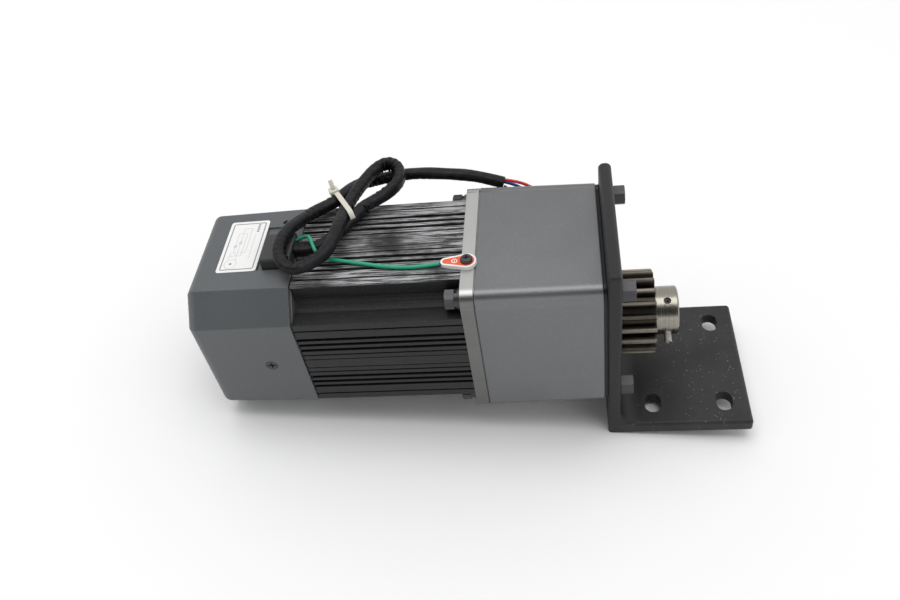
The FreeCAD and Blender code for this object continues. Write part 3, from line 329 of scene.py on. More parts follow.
def nylon_tie():
    """The strap, then its head with a sunk slot, then its cut-off tail."""
    bpy.ops.object.select_all(action="DESELECT")
    bpy.ops.mesh.primitive_cylinder_add(vertices=40, radius=TIE_HALF_H, depth=TIE_WIDE,
                                        end_fill_type="NOTHING", location=(0, 0, 0))
    piece = bpy.context.object
    piece.name = "nylon_tie"
    bpy.ops.object.mode_set(mode="EDIT")
    bpy.ops.mesh.select_all(action="SELECT")
    bpy.ops.transform.rotate(value=math.pi / 2, orient_axis="Y", center_override=(0, 0, 0))
    for way in (1, -1):
        pick(piece, lambda co: co.y * way > 0.05 * MM)
        bpy.ops.transform.translate(value=(0, way * (TIE_HALF_W - TIE_HALF_H), 0))
    bpy.ops.object.mode_set(mode="OBJECT")
    solid = piece.modifiers.new("thickness", "SOLIDIFY")
    solid.thickness, solid.offset = TIE_THICK, 1.0
    apply_modifiers(piece)
    bpy.ops.object.mode_set(mode="EDIT")
    bpy.ops.mesh.select_all(action="DESELECT")
    bpy.ops.mesh.primitive_cube_add(size=1, location=HEAD_PLACE)
    bpy.ops.transform.resize(value=HEAD_SIZE, center_override=HEAD_PLACE)
    bpy.ops.mesh.bevel(offset=0.6 * MM, segments=3, affect="EDGES")
    pick(piece, lambda co: co.z > HEAD_TOP - 0.05 * MM and co.y > TIE_HALF_W)
    bpy.ops.mesh.inset(thickness=0.8 * MM)
    bpy.ops.mesh.extrude_region_move(TRANSFORM_OT_translate={"value": (0, 0, -0.7 * MM)})
    bpy.ops.mesh.select_all(action="DESELECT")
    bpy.ops.mesh.primitive_cube_add(size=1, location=TAIL_PLACE)
    bpy.ops.transform.resize(value=TAIL_SIZE, center_override=TAIL_PLACE)
    bpy.ops.mesh.bevel(offset=0.25 * MM, segments=2, affect="EDGES")
    bpy.ops.transform.rotate(value=TAIL_LEAN, orient_axis="X", center_override=TAIL_PLACE)
    bpy.ops.mesh.select_all(action="SELECT")
    bpy.ops.mesh.normals_make_consistent(inside=False)
    bpy.ops.transform.rotate(value=-TIE_TURN, orient_axis="Z", center_override=(0, 0, 0))
    bpy.ops.transform.translate(value=TIE_CENTRE)
    bpy.ops.object.mode_set(mode="OBJECT")
    bpy.ops.object.shade_smooth_by_angle(angle=math.radians(35))
    return piece


tie = nylon_tie()
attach(tie, "housing")
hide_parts("cable_tie")
print("tie top z mm:", round(max(v.co.z for v in tie.data.vertices) / MM, 1))

# %% [markdown]
# ### Leads and earth wire
# Three round leads start at the open end of the sleeve and hang behind the
# gearbox; their ends are stripped.  The green earth wire starts beside the
# sleeve, goes under the near loop, and ends under the tag.

# %% Round cords
LEAD_R = 0.9 * MM
EARTH_R = 1.0 * MM
CORDS = [("red_wire", "red_lead", RED_ROUTE, "red_pvc"),
         ("blue_wire", "blue_lead", BLUE_ROUTE, "blue_pvc"),
         ("black_wire", "black_lead", BLACK_ROUTE, "black_pvc"),
         ("green_wire", "earth_wire", EARTH_ROUTE, "green_pvc")]
STRAND_R = 0.55 * MM
STRAND_STEP = 0.7 * MM
strands = []


def stripped_end(name, route):
    """Twisted strands past the end of a lead: a fluted rod, turned as it grows."""
    tip, before = Vector(route[-1]) * MM, Vector(route[-2]) * MM
    way = (tip - before).normalized()
    bpy.ops.object.select_all(action="DESELECT")
    bpy.ops.mesh.primitive_circle_add(vertices=14, radius=STRAND_R, fill_type="NGON",
                                      location=(0, 0, 0))
    piece = bpy.context.object
    piece.name = name
    bpy.ops.object.mode_set(mode="EDIT")
    work = bmesh.from_edit_mesh(piece.data)
    for i, vertex in enumerate(sorted(work.verts, key=lambda v: math.atan2(v.co.y, v.co.x))):
        vertex.co *= 1.0 if i % 2 else 0.78
    bmesh.update_edit_mesh(piece.data)
    bpy.ops.mesh.select_all(action="SELECT")
    for _ in range(6):
        bpy.ops.mesh.extrude_region_move(TRANSFORM_OT_translate={"value": (0, 0, STRAND_STEP)})
        bpy.ops.transform.rotate(value=0.45, orient_axis="Z", center_override=(0, 0, 0))
    bpy.ops.transform.resize(value=(0.6, 0.6, 1), center_override=(0, 0, 4.2 * MM))
    bpy.ops.mesh.select_all(action="SELECT")
    bpy.ops.mesh.normals_make_consistent(inside=False)
    bpy.ops.object.mode_set(mode="OBJECT")
    turn = way.to_track_quat("Z", "Y").to_matrix().to_4x4()
    turn.translation = tip - way * 0.6 * MM
    piece.data.transform(turn)
    bpy.ops.object.shade_smooth_by_angle(angle=math.radians(40))
    return piece


for name, node, route, slot_name in CORDS:
    earth = node == "earth_wire"
    radius = EARTH_R if earth else LEAD_R
    wire = laid(name, route, radius)
    # The finish of this name is made later, in the material that is put on here.
    wire.data.materials.append(bpy.data.materials.new("wire_" + slot_name))
    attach(wire, "housing")
    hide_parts(node)
    tips = []
    if not earth:
        tips = [stripped_end(name + "_strands", route)]
        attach(tips[0], "housing")
    run = length_of(line_of(route))
    2 * radius
    strands += tips
    print(name, "length mm:", round(run / MM))

length_of(sleeve_line)

# %% [markdown]
# ## Shader maths
# A finish is mostly arithmetic: masks, distances and blends.  Writing it as a
# tree of nodes by hand hides the idea, so a small class wraps a socket and
# turns + - * / into Math nodes.  The reflected forms let `1 - mask` work.

# %% A value that does arithmetic
class Value:
    """A number that varies over the surface, held as a node's output socket."""

    def __init__(self, graph, socket):
        self.graph = graph
        self.socket = socket

    def math(self, operation, *others):
        return self.graph.maths(operation, self, *others)

    def __add__(self, other):
        return self.math("ADD", other)

    __radd__ = __add__

    def __mul__(self, other):
        return self.math("MULTIPLY", other)

    __rmul__ = __mul__

    def __sub__(self, other):
        return self.math("SUBTRACT", other)

    def __rsub__(self, other):
        return self.graph.maths("SUBTRACT", other, self)

    def __truediv__(self, other):
        return self.math("DIVIDE", other)

    def __abs__(self):
        return self.math("ABSOLUTE")

    def __pow__(self, other):
        return self.math("POWER", other)

    def most(self, other):
        return self.math("MAXIMUM", other)

    def above(self, edge, soft=1e-5):
        """0 below the edge and 1 above it, with a soft step."""
        return self.graph.step(self, edge - soft, edge + soft)

    def below(self, edge, soft=1e-5):
        return 1 - self.above(edge, soft)


# %% [markdown]
# ## A node graph and a finish
# `Graph` adds nodes to any tree: settings first, then the values or links of
# the sockets.  `Finish` is a graph round one Principled shader, and the same
# graph class lights the world later.  The helpers are named for what painters
# and machinists talk about: grain, speckle, a soft edge.

# %% The graph and the finish
class Graph:
    """A node tree that is written in short lines."""

    def __init__(self, tree):
        self.tree = tree
        tree.nodes.clear()

    def node(self, kind, settings=None, out=0, **sockets):
        """Any node: settings are set first, then sockets by name or number."""
        made = self.tree.nodes.new(kind)
        for key, value in (settings or {}).items():
            setattr(made, key, value)
        for key, value in sockets.items():
            name = key.replace("_", " ")
            target = made.inputs[int(key[1:])] if key[1:].isdigit() else made.inputs[name]
            self.plug(value, target)
        return made if out is None else made.outputs[out]

    def plug(self, value, target):
        """Link a socket to an input, or write a constant into it."""
        if isinstance(value, Value):
            value = value.socket
        if isinstance(value, bpy.types.NodeSocket):
            self.tree.links.new(value, target)
        else:
            target.default_value = value

    def maths(self, operation, *values):
        made = self.tree.nodes.new("ShaderNodeMath")
        made.operation = operation
        for value, target in zip(values, made.inputs):
            self.plug(value, target)
        return Value(self, made.outputs[0])

    def step(self, value, low, high):
        """0 below low and 1 above high, with a smooth rise between them."""
        made = self.node("ShaderNodeMapRange", {"interpolation_type": "SMOOTHSTEP"},
                         Value=value, From_Min=low, From_Max=high)
        return Value(self, made)


class Finish(Graph):
    """A material built from a Principled shader and what varies over it."""

    def __init__(self, name, **constants):
        # A wire's material is there already, because its spline was given it.
        self.material = bpy.data.materials.get(name) or bpy.data.materials.new(name)
        self.material.use_nodes = True
        super().__init__(self.material.node_tree)
        self.shader = self.tree.nodes.new("ShaderNodeBsdfPrincipled")
        self.output = self.tree.nodes.new("ShaderNodeOutputMaterial")
        self.tree.links.new(self.shader.outputs[0], self.output.inputs[0])
        for socket, value in constants.items():
            self.shader.inputs[socket.replace("_", " ")].default_value = value
        self.place = self.node("ShaderNodeTexCoord", out="Object")
        parts = self.tree.nodes.new("ShaderNodeSeparateXYZ")
        self.tree.links.new(self.place, parts.inputs[0])
        self.x, self.y, self.z = (Value(self, parts.outputs[i]) for i in range(3))

    def stretched(self, x=1.0, y=1.0, z=1.0):
        """Object coordinates pulled longer or shorter along each axis."""
        return self.node("ShaderNodeMapping", Vector=self.place, Scale=(x, y, z))

    def noise(self, per_metre, detail=3.0, rough=0.55, place=None):
        return Value(self, self.node("ShaderNodeTexNoise", Vector=place or self.place,
                                     Scale=per_metre, Detail=detail, Roughness=rough))

    def cells(self, per_metre):
        return Value(self, self.node("ShaderNodeTexVoronoi", Vector=self.place,
                                     Scale=per_metre))

    def blend(self, mask, low, high):
        """A colour between low and high; each is a colour or another blend."""
        made = self.tree.nodes.new("ShaderNodeMix")
        made.data_type = "RGBA"
        self.plug(mask, made.inputs["Factor"])
        for value, target in ((low, made.inputs[6]), (high, made.inputs[7])):
            self.plug((*value, 1.0) if isinstance(value, tuple) else value, target)
        return made.outputs[2]

    def surface(self, colour=None, rough=None, metal=None, height=None, depth=0.1 * MM,
                edge=None):
        """Plug in what varies: colour, roughness, metal, and a bumped, rounded normal."""
        ports = self.shader.inputs
        for value, name in ((colour, "Base Color"), (rough, "Roughness"), (metal, "Metallic")):
            if value is not None:
                self.plug((*value, 1.0) if isinstance(value, tuple) else value, ports[name])
        normal = None
        if edge:
            normal = self.node("ShaderNodeBevel", {"samples": 6}, Radius=edge)
        if height is not None:
            bump = self.tree.nodes.new("ShaderNodeBump")
            self.plug(height, bump.inputs["Height"])
            bump.inputs["Distance"].default_value = depth
            if normal is not None:
                self.tree.links.new(normal, bump.inputs["Normal"])
            normal = bump.outputs[0]
        if normal is not None:
            self.tree.links.new(normal, ports["Normal"])
        return self.material


def paint(node_names, material):
    """Give the CAD nodes a finish, in the slots that they already have."""
    for name in node_names:
        piece = nodes[name]
        if not piece.material_slots:
            piece.data.materials.append(material)
        for slot in piece.material_slots:
            slot.material = material
    print(material.name, "on", ", ".join(node_names))


# %% [markdown]
# ## Powder coat, cast paint and black extrusion
# The fan cover and the gearbox carry a satin metallic paint with orange peel
# and a fine speckle.  The peel is a bump, the speckle is a change of colour,
# and a slow noise keeps large faces from looking like one flat swatch.  The
# flange is bare alloy, painted lighter on top as a painted highlight and
# darker at its sides as painted shade.

# %% Cover paint
def speckled_paint(name, dark, light, glint, rough, metal, edge):
    """Satin paint: slow mottling, orange peel, and tiny lighter flakes."""
    coat = Finish(name, Specular_IOR_Level=0.5, Metallic=metal)
    drift = coat.noise(18, detail=2)
    peel = coat.noise(1300, detail=2)
    flake = coat.cells(1500).below(0.2, 0.12) * coat.noise(500).above(0.5, 0.1)
    base = coat.blend(drift, dark, light)
    tone = coat.blend(flake * 0.45, base, glint)
    return coat.surface(tone, rough=rough + 0.12 * drift - 0.08 * flake,
                        height=peel, depth=0.05 * MM, edge=edge)


cover_paint = speckled_paint("cover_powder_coat", (0.092, 0.099, 0.104), (0.113, 0.121, 0.127),
                             (0.24, 0.25, 0.26), 0.36, 0.35, 1.0 * MM)
paint(["fan_cover"], cover_paint)


# %% Gearbox paint
PAD_FROM = -47.9 * MM


def gearbox_finish():
    """Cast case with a metallic paint; the flat pad at its +X end is coloured near black."""
    case = Finish("gearbox_paint", Metallic=0.92, Specular_IOR_Level=0.5)
    drift = case.noise(22, detail=3)
    sand = case.noise(900, detail=4)
    pad = case.x.above(PAD_FROM, 0.05 * MM)
    flake = case.cells(1200).below(0.2, 0.12) * case.noise(400).above(0.5, 0.1)
    grey = case.blend(flake * 0.4, case.blend(drift, (0.155, 0.158, 0.162), (0.2, 0.204, 0.209)),
                      (0.4, 0.4, 0.4))
    return case.surface(case.blend(pad, grey, (0.03, 0.03, 0.032)), rough=0.36 + 0.14 * drift,
                        height=sand, depth=0.07 * MM, edge=0.8 * MM)


paint(["gearbox_case"], gearbox_finish())

# %% Flange alloy
flange_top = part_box("motor_flange")[1].z


def flange_finish():
    """Alloy painted lighter on top as a painted highlight, and darker at its sides as painted
    shade.
    """
    alloy = Finish("flange_alloy", Metallic=0.95)
    # Painted light: the top band is painted lighter as a painted highlight, and everything below it
    # darker as painted shade.
    painted_lit_top = alloy.z.above(flange_top - 1.6 * MM, 0.7 * MM)
    marks = alloy.noise(800, detail=4, place=alloy.stretched(1, 0.06, 1))
    stain = alloy.noise(60, detail=3)
    # side is the painted shade colour and top is the painted highlight colour; the tool marks are
    # real.
    side = alloy.blend(stain, (0.14, 0.14, 0.138), (0.2, 0.2, 0.196))
    top = alloy.blend(marks * 0.5 + stain * 0.5, (0.37, 0.37, 0.365), (0.5, 0.5, 0.49))
    return alloy.surface(alloy.blend(painted_lit_top, side, top), rough=0.32 + 0.16 * stain,
                         height=marks, depth=0.04 * MM, edge=0.6 * MM)


paint(["motor_flange"], flange_finish())

# %% Black drawn extrusion
frame_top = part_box("stator_frame")[1].z


def drawn_black(name):
    """Satin black over an extrusion whose draw lines run along X.

    The tips of the upper fins carry bright streaks, a painted highlight.
    """
    black = Finish(name, Specular_IOR_Level=0.32)
    lines = black.noise(900, detail=3, place=black.stretched(x=0.03))
    # Small lighter specks are painted glints; they also add a fine bump.
    painted_glint_specks = black.cells(1300).below(0.22, 0.12)
    # The bright streaks on the upper fin tips are a painted highlight, with more metal where they
    # lie.
    tips = black.z.above(frame_top - 0.9 * MM, 0.5 * MM)
    fine = black.noise(1300, detail=5, rough=0.7, place=black.stretched(x=0.04))
    painted_highlight_streaks = fine.above(0.5, 0.07)
    patches = black.noise(28, detail=4).above(0.44, 0.12)
    # bright is the mask of the painted highlight on the fin tips.
    bright = tips * painted_highlight_streaks * patches
    base = black.blend(lines, (0.01, 0.01, 0.0105), (0.024, 0.024, 0.0255))
    coat = black.blend(painted_glint_specks * 0.35, base, (0.1, 0.1, 0.105))
    # Blend toward pale grey where the painted highlight lies.
    tone = black.blend(bright * 0.9, coat, (0.5, 0.5, 0.51))
    return black.surface(tone, rough=0.3 + 0.16 * lines, metal=0.2 + 0.7 * bright,
                         height=lines + painted_glint_specks * 0.5, depth=0.05 * MM, edge=0.4 * MM)


paint(["stator_frame"], drawn_black("black_extrusion"))

# %% [markdown]
# ## Bracket, bolts and gears
# The angle bracket is painted rolled steel: nearly black, with mill scale that
# shows through as a shallow ripple, and pale dust lying on the foot.  The
# dust mask is a cell pattern, cut to the foot's upper face by height.

# %% Bracket paint with dust
JUST_OVER_FOOT = 7.2 * MM       # the foot is 7 mm thick
foot_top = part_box("mounting_bracket")[0].z + JUST_OVER_FOOT


def dusty_paint():
    """Painted rolled steel, with specks and a film of dust on the foot."""
    steel = Finish("bracket_paint", Specular_IOR_Level=0.3)
    ripple = steel.noise(140, detail=5, rough=0.6)
    grain = steel.noise(1600, detail=2)
    specks = steel.cells(520).below(0.17, 0.05) * steel.noise(170).above(0.52, 0.06)
    low = steel.z.below(foot_top, 0.4 * MM)
    patches = steel.noise(55, detail=2).above(0.46, 0.14)
    dust = specks * low * patches
    film = steel.noise(35, detail=3).above(0.5, 0.25) * low
    base = steel.blend(ripple, (0.011, 0.011, 0.0122), (0.021, 0.021, 0.023))
    coat = steel.blend(dust * 0.4 + film * 0.03, base, (0.5, 0.5, 0.5))
    return steel.surface(coat, rough=0.38 + 0.2 * ripple, height=ripple + 0.3 * grain,
                         depth=0.12 * MM, edge=0.7 * MM)


paint(["mounting_bracket"], dusty_paint())


# %% Machined and blackened steel
def machined(name, dark, light, rough, per_metre=1200, along=(0.05, 1, 1), metal=1.0,
             edge=0.2 * MM):
    """Bare metal with tool marks stretched along one axis."""
    steel = Finish(name, Metallic=metal)
    marks = steel.noise(per_metre, detail=4, place=steel.stretched(*along))
    stain = steel.noise(90, detail=3)
    tone = steel.blend(marks * 0.6 + stain * 0.4, dark, light)
    return steel.surface(tone, rough=rough + 0.2 * stain, height=marks, depth=0.03 * MM, edge=edge)


black_bolt = machined("blackened_bolt", (0.035, 0.035, 0.037), (0.1, 0.1, 0.105), 0.32, metal=0.8)
zinc = machined("zinc_plate", (0.4, 0.4, 0.38), (0.62, 0.62, 0.6), 0.3)
bearing_steel = machined("bearing_steel", (0.45, 0.45, 0.46), (0.7, 0.7, 0.71), 0.18)
shaft_steel = machined("ground_shaft", (0.42, 0.42, 0.42), (0.62, 0.62, 0.62), 0.22,
                       along=(1, 0.05, 0.05))
gear_steel = machined("hobbed_gear", (0.22, 0.21, 0.2), (0.42, 0.41, 0.4), 0.3)
bronze = machined("sintered_bronze", (0.35, 0.2, 0.08), (0.55, 0.35, 0.16), 0.45, along=(1, 1, 1))
lamination = machined("laminated_iron", (0.12, 0.12, 0.13), (0.3, 0.3, 0.31), 0.4,
                      per_metre=2000, along=(1, 0.02, 0.02))
copper = machined("tinned_copper", (0.5, 0.3, 0.18), (0.75, 0.52, 0.36), 0.3, along=(1, 1, 1))
plate_alloy = machined("machined_alloy", (0.4, 0.4, 0.4), (0.58, 0.58, 0.58), 0.35, along=(1, 1, 1))
paint(["through_bolts", "bracket_nuts", "cover_screws", "earth_screw", "fan_ring", "spring_washers",
       "plain_washers"], black_bolt)
paint(["end_bell_screws", "flange_screws"], zinc)
paint(["front_bearing", "rear_bearing", "output_bearing"], bearing_steel)
paint(["motor_shaft", "first_idler_shaft", "second_idler_shaft", "output_shaft", "output_keys"],
      shaft_steel)
paint(["first_wheel", "second_wheel", "output_gear"], gear_steel)
paint(["gear_shaft_bushes"], bronze)
paint(["stator_core", "rotor_core"], lamination)
paint(["gearbox_rear_plate", "rear_end_bell"], plate_alloy)


# %% [markdown]
# ## The rack pinion
# One turned and hobbed blank shows three finishes.  The hub is bright and
# carries rings from the lathe; the tooth flanks are brown with old oil; the
# tooth lands are rubbed paler.  Radius from the output axis tells them apart.

# %% Rack pinion finish
output_axis = Vector(frame["joints"][-1]["pos_m"])
pinion_low, pinion_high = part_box("rack_pinion")
TIP_R = (pinion_high.z - pinion_low.z) / 2
HUB_LONG = 12.8 * MM
HUB_FROM = pinion_high.x - HUB_LONG


def pinion_finish():
    """Oiled flanks, rubbed lands and a turned hub in one material."""
    steel = Finish("oiled_pinion", Metallic=1.0)
    y = steel.y - output_axis.y
    z = steel.z - output_axis.z
    radius = (y * y + z * z) ** 0.5
    hub = steel.x.above(HUB_FROM + 0.05 * MM, 0.05 * MM)
    rings = steel.noise(1500, detail=3, place=steel.stretched(1, 0.03, 0.03))
    strokes = steel.noise(900, detail=4, place=steel.stretched(0.05, 1, 1))
    stain = steel.noise(260, detail=4)
    land = radius.above(TIP_R - 0.8 * MM, 0.4 * MM)
    flank = steel.blend(strokes * 0.5 + stain * 0.5, (0.014, 0.0125, 0.0105), (0.1, 0.088, 0.07))
    rubbed = steel.blend(stain, (0.13, 0.115, 0.095), (0.3, 0.27, 0.23))
    toothed = steel.blend(land * 0.75, flank, rubbed)
    bright = steel.blend(rings, (0.17, 0.16, 0.135), (0.37, 0.35, 0.305))
    tone = steel.blend(hub, toothed, bright)
    rough = hub * (0.2 + 0.12 * rings) + (1 - hub) * (0.34 + 0.2 * stain)
    height = hub * rings + (1 - hub) * (strokes + stain * 0.5)
    return steel.surface(tone, rough=rough, height=height, depth=0.06 * MM, edge=0.2 * MM)


paint(["rack_pinion"], pinion_finish())


# %% Threads on the set screws
def threaded(name, dark, light, axis_turn):
    """Bright screw whose thread is a wave along the screw's own direction."""
    steel = Finish(name, Metallic=1.0)
    along = steel.y * math.cos(axis_turn) + steel.z * math.sin(axis_turn)
    pitch = 0.7 * MM
    wave = (along * (2 * math.pi / pitch)).math("SINE")
    stain = steel.noise(500)
    tone = steel.blend(stain, dark, light)
    return steel.surface(tone, rough=0.25 + 0.2 * stain, height=wave, depth=0.12 * MM)


PROUD_SCREW = math.radians(201)
paint(["set_screws"],
      threaded("set_screw_steel", (0.35, 0.34, 0.32), (0.62, 0.6, 0.56), PROUD_SCREW))


# %% [markdown]
# ## Plastics, rubber and varnished copper
# Moulded plastics differ in how they scatter light.  Natural nylon glows a
# little, PVC has a waxy sheen, rubber is dull.  Each gets a slow change of
# tone and a fine skin, because real mouldings are never one flat colour.

# %% Plastic and rubber finishes
def moulded(name, dark, light, rough, skin=900, depth=0.03 * MM, edge=0.3 * MM, **constants):
    """Plastic or rubber with a slow change of tone and a fine skin."""
    plastic = Finish(name, **constants)
    tone = plastic.noise(70, detail=3)
    grain = plastic.noise(skin, detail=3)
    return plastic.surface(plastic.blend(tone, dark, light), rough=rough + 0.15 * tone,
                           height=grain, depth=depth, edge=edge)


black_rubber = moulded("black_rubber", (0.022, 0.022, 0.024), (0.036, 0.036, 0.038), 0.45,
                       edge=0.5 * MM)
nylon = moulded("natural_nylon", (0.6, 0.57, 0.49), (0.7, 0.675, 0.59), 0.35,
                Subsurface_Weight=0.25, Subsurface_Scale=1.5 * MM)
fan_nylon = moulded("fan_nylon", (0.02, 0.02, 0.021), (0.035, 0.035, 0.036), 0.42)
winding = moulded("varnished_winding", (0.3, 0.1, 0.035), (0.5, 0.2, 0.08), 0.25, skin=1400,
                  depth=0.3 * MM)
# The wires hold these four materials already; only their nodes are made here.
for colour, dark, light in (("green", (0.01, 0.3, 0.17), (0.02, 0.38, 0.22)),
                            ("red", (0.6, 0.02, 0.02), (0.72, 0.04, 0.03)),
                            ("blue", (0.02, 0.06, 0.3), (0.03, 0.09, 0.4)),
                            ("black", (0.015, 0.015, 0.016), (0.03, 0.03, 0.032))):
    moulded(f"wire_{colour}_pvc", dark, light, 0.25)
paint(["cable_outlet", "output_seal", "motor_seal"], black_rubber)
paint(["cooling_fan"], fan_nylon)
paint(["stator_windings"], winding)


# %% Finishes of the cables
def sleeve_finish():
    """Soft PVC: violet-black, waxy, creased, with a faint dust film in patches."""
    pvc = Finish("soft_pvc_sleeve", Specular_IOR_Level=0.17)
    tone = pvc.noise(120, detail=3)
    creases = pvc.noise(420, detail=4, rough=0.6, place=pvc.stretched(1, 1, 0.45))
    film = pvc.noise(300, detail=4).above(0.58, 0.12)
    base = pvc.blend(tone, (0.005, 0.0045, 0.0058), (0.011, 0.01, 0.0122))
    colour = pvc.blend(film * 0.03, base, (0.3, 0.3, 0.31))
    return pvc.surface(colour, rough=0.3 + 0.2 * tone, height=creases, depth=0.3 * MM)


sleeve.data.materials.append(sleeve_finish())
tie.data.materials.append(nylon)
for tip in strands:
    tip.data.materials.append(copper)
print("stripped ends with strands:", len(strands))

# %% [markdown]
# ## Earth tag
# The tag is a teardrop of orange-red plastic with a white rim.  Its outline is
# two circles joined by tangents, so the distance to that outline, worked out in
# the shader, gives a rim of even width, and a small ring marks the terminal.

# %% Earth tag finish
tag_low, tag_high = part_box("earth_tag")
TAG_LARGE_R = (tag_high.y - tag_low.y) / 2
TAG_SMALL_R = 2.7 * MM
tag_y = (tag_low.y + tag_high.y) / 2
tag_x_large = tag_high.x - TAG_LARGE_R
tag_x_small = tag_low.x + TAG_SMALL_R


def tag_finish():
    """Orange-red teardrop with a white rim and the mark of an earth terminal."""
    tag = Finish("tag_plastic", Specular_IOR_Level=0.5)
    reach = tag_x_large - tag_x_small
    lean = (TAG_LARGE_R - TAG_SMALL_R) / reach
    level = math.sqrt(1 - lean * lean)
    along = tag_x_large - tag.x
    across = abs(tag.y - tag_y)
    side = across * level + along * lean - TAG_LARGE_R
    round_large = (along * along + across * across) ** 0.5 - TAG_LARGE_R
    past = along - reach
    round_small = (past * past + across * across) ** 0.5 - TAG_SMALL_R
    turn = along * level - across * lean
    inside = turn.above(0.0) * side + turn.below(0.0) * round_large
    outline = turn.below(level * reach) * inside + turn.above(level * reach) * round_small
    rim = outline.above(-0.95 * MM, 0.08 * MM)
    mark_x = tag_x_small + 0.42 * reach
    off = ((tag.x - mark_x) * (tag.x - mark_x) + across * across) ** 0.5
    ring = abs(off - 1.35 * MM).below(0.22 * MM, 0.06 * MM)
    stem = abs(tag.x - mark_x).below(0.16 * MM, 0.05 * MM) * across.below(0.8 * MM, 0.05 * MM)
    white = rim.most(ring).most(stem)
    tone = tag.noise(200)
    red = tag.blend(tone, (0.72, 0.07, 0.025), (0.85, 0.13, 0.04))
    colour = tag.blend(white, red, (0.85, 0.85, 0.83))
    return tag.surface(colour, rough=0.3 + 0.1 * tone, height=tone - white * 0.6,
                       depth=0.05 * MM, edge=0.3 * MM)


paint(["earth_tag"], tag_finish())

# %% [markdown]
# ## The data label
# A white plastic label lies on the cover's top.  The real one carries a
# wiring diagram and lines of print; here the print is only bars and a made-up
# circuit, drawn in the shader from distances, on a thin plate with round
# corners that follows the cover's slight draft.

# %% Label plate
LABEL_X = (-251.4 * MM, -228.9 * MM)
LABEL_Y = (-17.3 * MM, 23.3 * MM)
LABEL_THICK = 0.18 * MM
COVER_DRAFT = math.atan2(0.8, 57.4)
cover_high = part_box("fan_cover")[1]


def label_plate():
    """A thin plate with round corners, laid on the sloping top of the cover."""
    bpy.ops.object.select_all(action="DESELECT")
    middle = ((LABEL_X[0] + LABEL_X[1]) / 2, (LABEL_Y[0] + LABEL_Y[1]) / 2)
    top = cover_high.z - (cover_high.x - middle[0]) * math.tan(COVER_DRAFT)
    bpy.ops.mesh.primitive_plane_add(size=1, location=(0, 0, 0))
    plate = bpy.context.object
    plate.name = "data_label"
    bpy.ops.object.mode_set(mode="EDIT")
    bpy.ops.mesh.select_all(action="SELECT")
    bpy.ops.transform.resize(value=(LABEL_X[1] - LABEL_X[0], LABEL_Y[1] - LABEL_Y[0], 1))
    bpy.ops.mesh.bevel(offset=1.6 * MM, segments=5, affect="VERTICES")
    bpy.ops.mesh.extrude_region_move(TRANSFORM_OT_translate={"value": (0, 0, LABEL_THICK)})
    bpy.ops.mesh.select_all(action="SELECT")
    bpy.ops.mesh.normals_make_consistent(inside=False)
    bpy.ops.transform.rotate(value=COVER_DRAFT, orient_axis="Y", center_override=(0, 0, 0))
    bpy.ops.transform.translate(value=(middle[0], middle[1], top + 0.02 * MM))
    bpy.ops.object.mode_set(mode="OBJECT")
    return plate


label = label_plate()
tilt = max(v.co.z for v in label.data.vertices if v.co.x > LABEL_X[1] - 3 * MM)
print("label's front edge is at z mm:", round(tilt / MM, 2))


# %% Label print
# Traces and parts of the circuit: u from and to, v from and to, in millimetres.
CIRCUIT = ((6.4, 6.8, 15.4, 19.0), (5.7, 7.5, 19.0, 21.4), (6.4, 6.8, 21.4, 30.6),
           (6.4, 11.6, 30.4, 30.8), (11.2, 11.6, 12.6, 30.8), (4.6, 11.6, 12.4, 12.8),
           (4.6, 5.0, 10.0, 12.8), (13.2, 13.6, 15.0, 34.6), (8.8, 13.6, 34.4, 34.8),
           (8.8, 9.2, 24.2, 34.8), (8.2, 9.8, 21.6, 24.2), (8.8, 9.2, 9.6, 21.6),
           (9.8, 13.6, 14.8, 15.2))


def label_finish():
    """White sheet with a frame, bars for print and a made-up circuit."""
    paper = Finish("printed_label", Specular_IOR_Level=0.4)
    u = (paper.x - LABEL_X[0]) / MM
    v = (paper.y - LABEL_Y[0]) / MM
    wide = (LABEL_X[1] - LABEL_X[0]) / MM
    tall = (LABEL_Y[1] - LABEL_Y[0]) / MM

    def bar(u0, u1, v0, v1):
        """Filled rectangle in label millimetres."""
        across = abs(u - (u0 + u1) / 2).below((u1 - u0) / 2, 0.05)
        return across * abs(v - (v0 + v1) / 2).below((v1 - v0) / 2, 0.05)

    def ring(cu, cv, radius, line):
        """Circle drawn as a line."""
        off = ((u - cu) * (u - cu) + (v - cv) * (v - cv)) ** 0.5
        return abs(off - radius).below(line / 2, 0.05)

    def border(inset, round_r, line):
        """Rounded rectangle drawn as a line, from its distance field."""
        du = (abs(u - wide / 2) - (wide / 2 - inset - round_r)).most(0.0)
        dv = (abs(v - tall / 2) - (tall / 2 - inset - round_r)).most(0.0)
        return abs((du * du + dv * dv) ** 0.5 - round_r).below(line / 2, 0.06)

    ink = border(2.0, 0.9, 0.62).most(ring(7.0, 6.4, 0.35, 0.75))
    for row in range(4):
        ink = ink.most(bar(16.3, 17.7, 31.4 + 1.75 * row, 32.5 + 1.75 * row))
    thin = ring(7.0, 6.4, 3.4, 0.42).most(ring(6.6, 13.9, 1.5, 0.4))
    for trace in CIRCUIT:
        thin = thin.most(bar(*trace))
    dashes = (v * (2 * math.pi / 1.25)).math("SINE").above(-0.2, 0.2) * bar(15.9, 16.7, 9.2, 29.6)
    fade = paper.noise(500, detail=2)
    sheet_tone = paper.blend(fade, (0.79, 0.79, 0.785), (0.85, 0.85, 0.845))
    printed = paper.blend(thin.most(dashes * 0.8) * 0.42, sheet_tone, (0.27, 0.26, 0.27))
    colour = paper.blend(ink * 0.85, printed, (0.1, 0.1, 0.105))
    return paper.surface(colour, rough=0.35 + 0.1 * fade, height=fade, depth=0.01 * MM)


label.data.materials.append(label_finish())
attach(label, "housing")

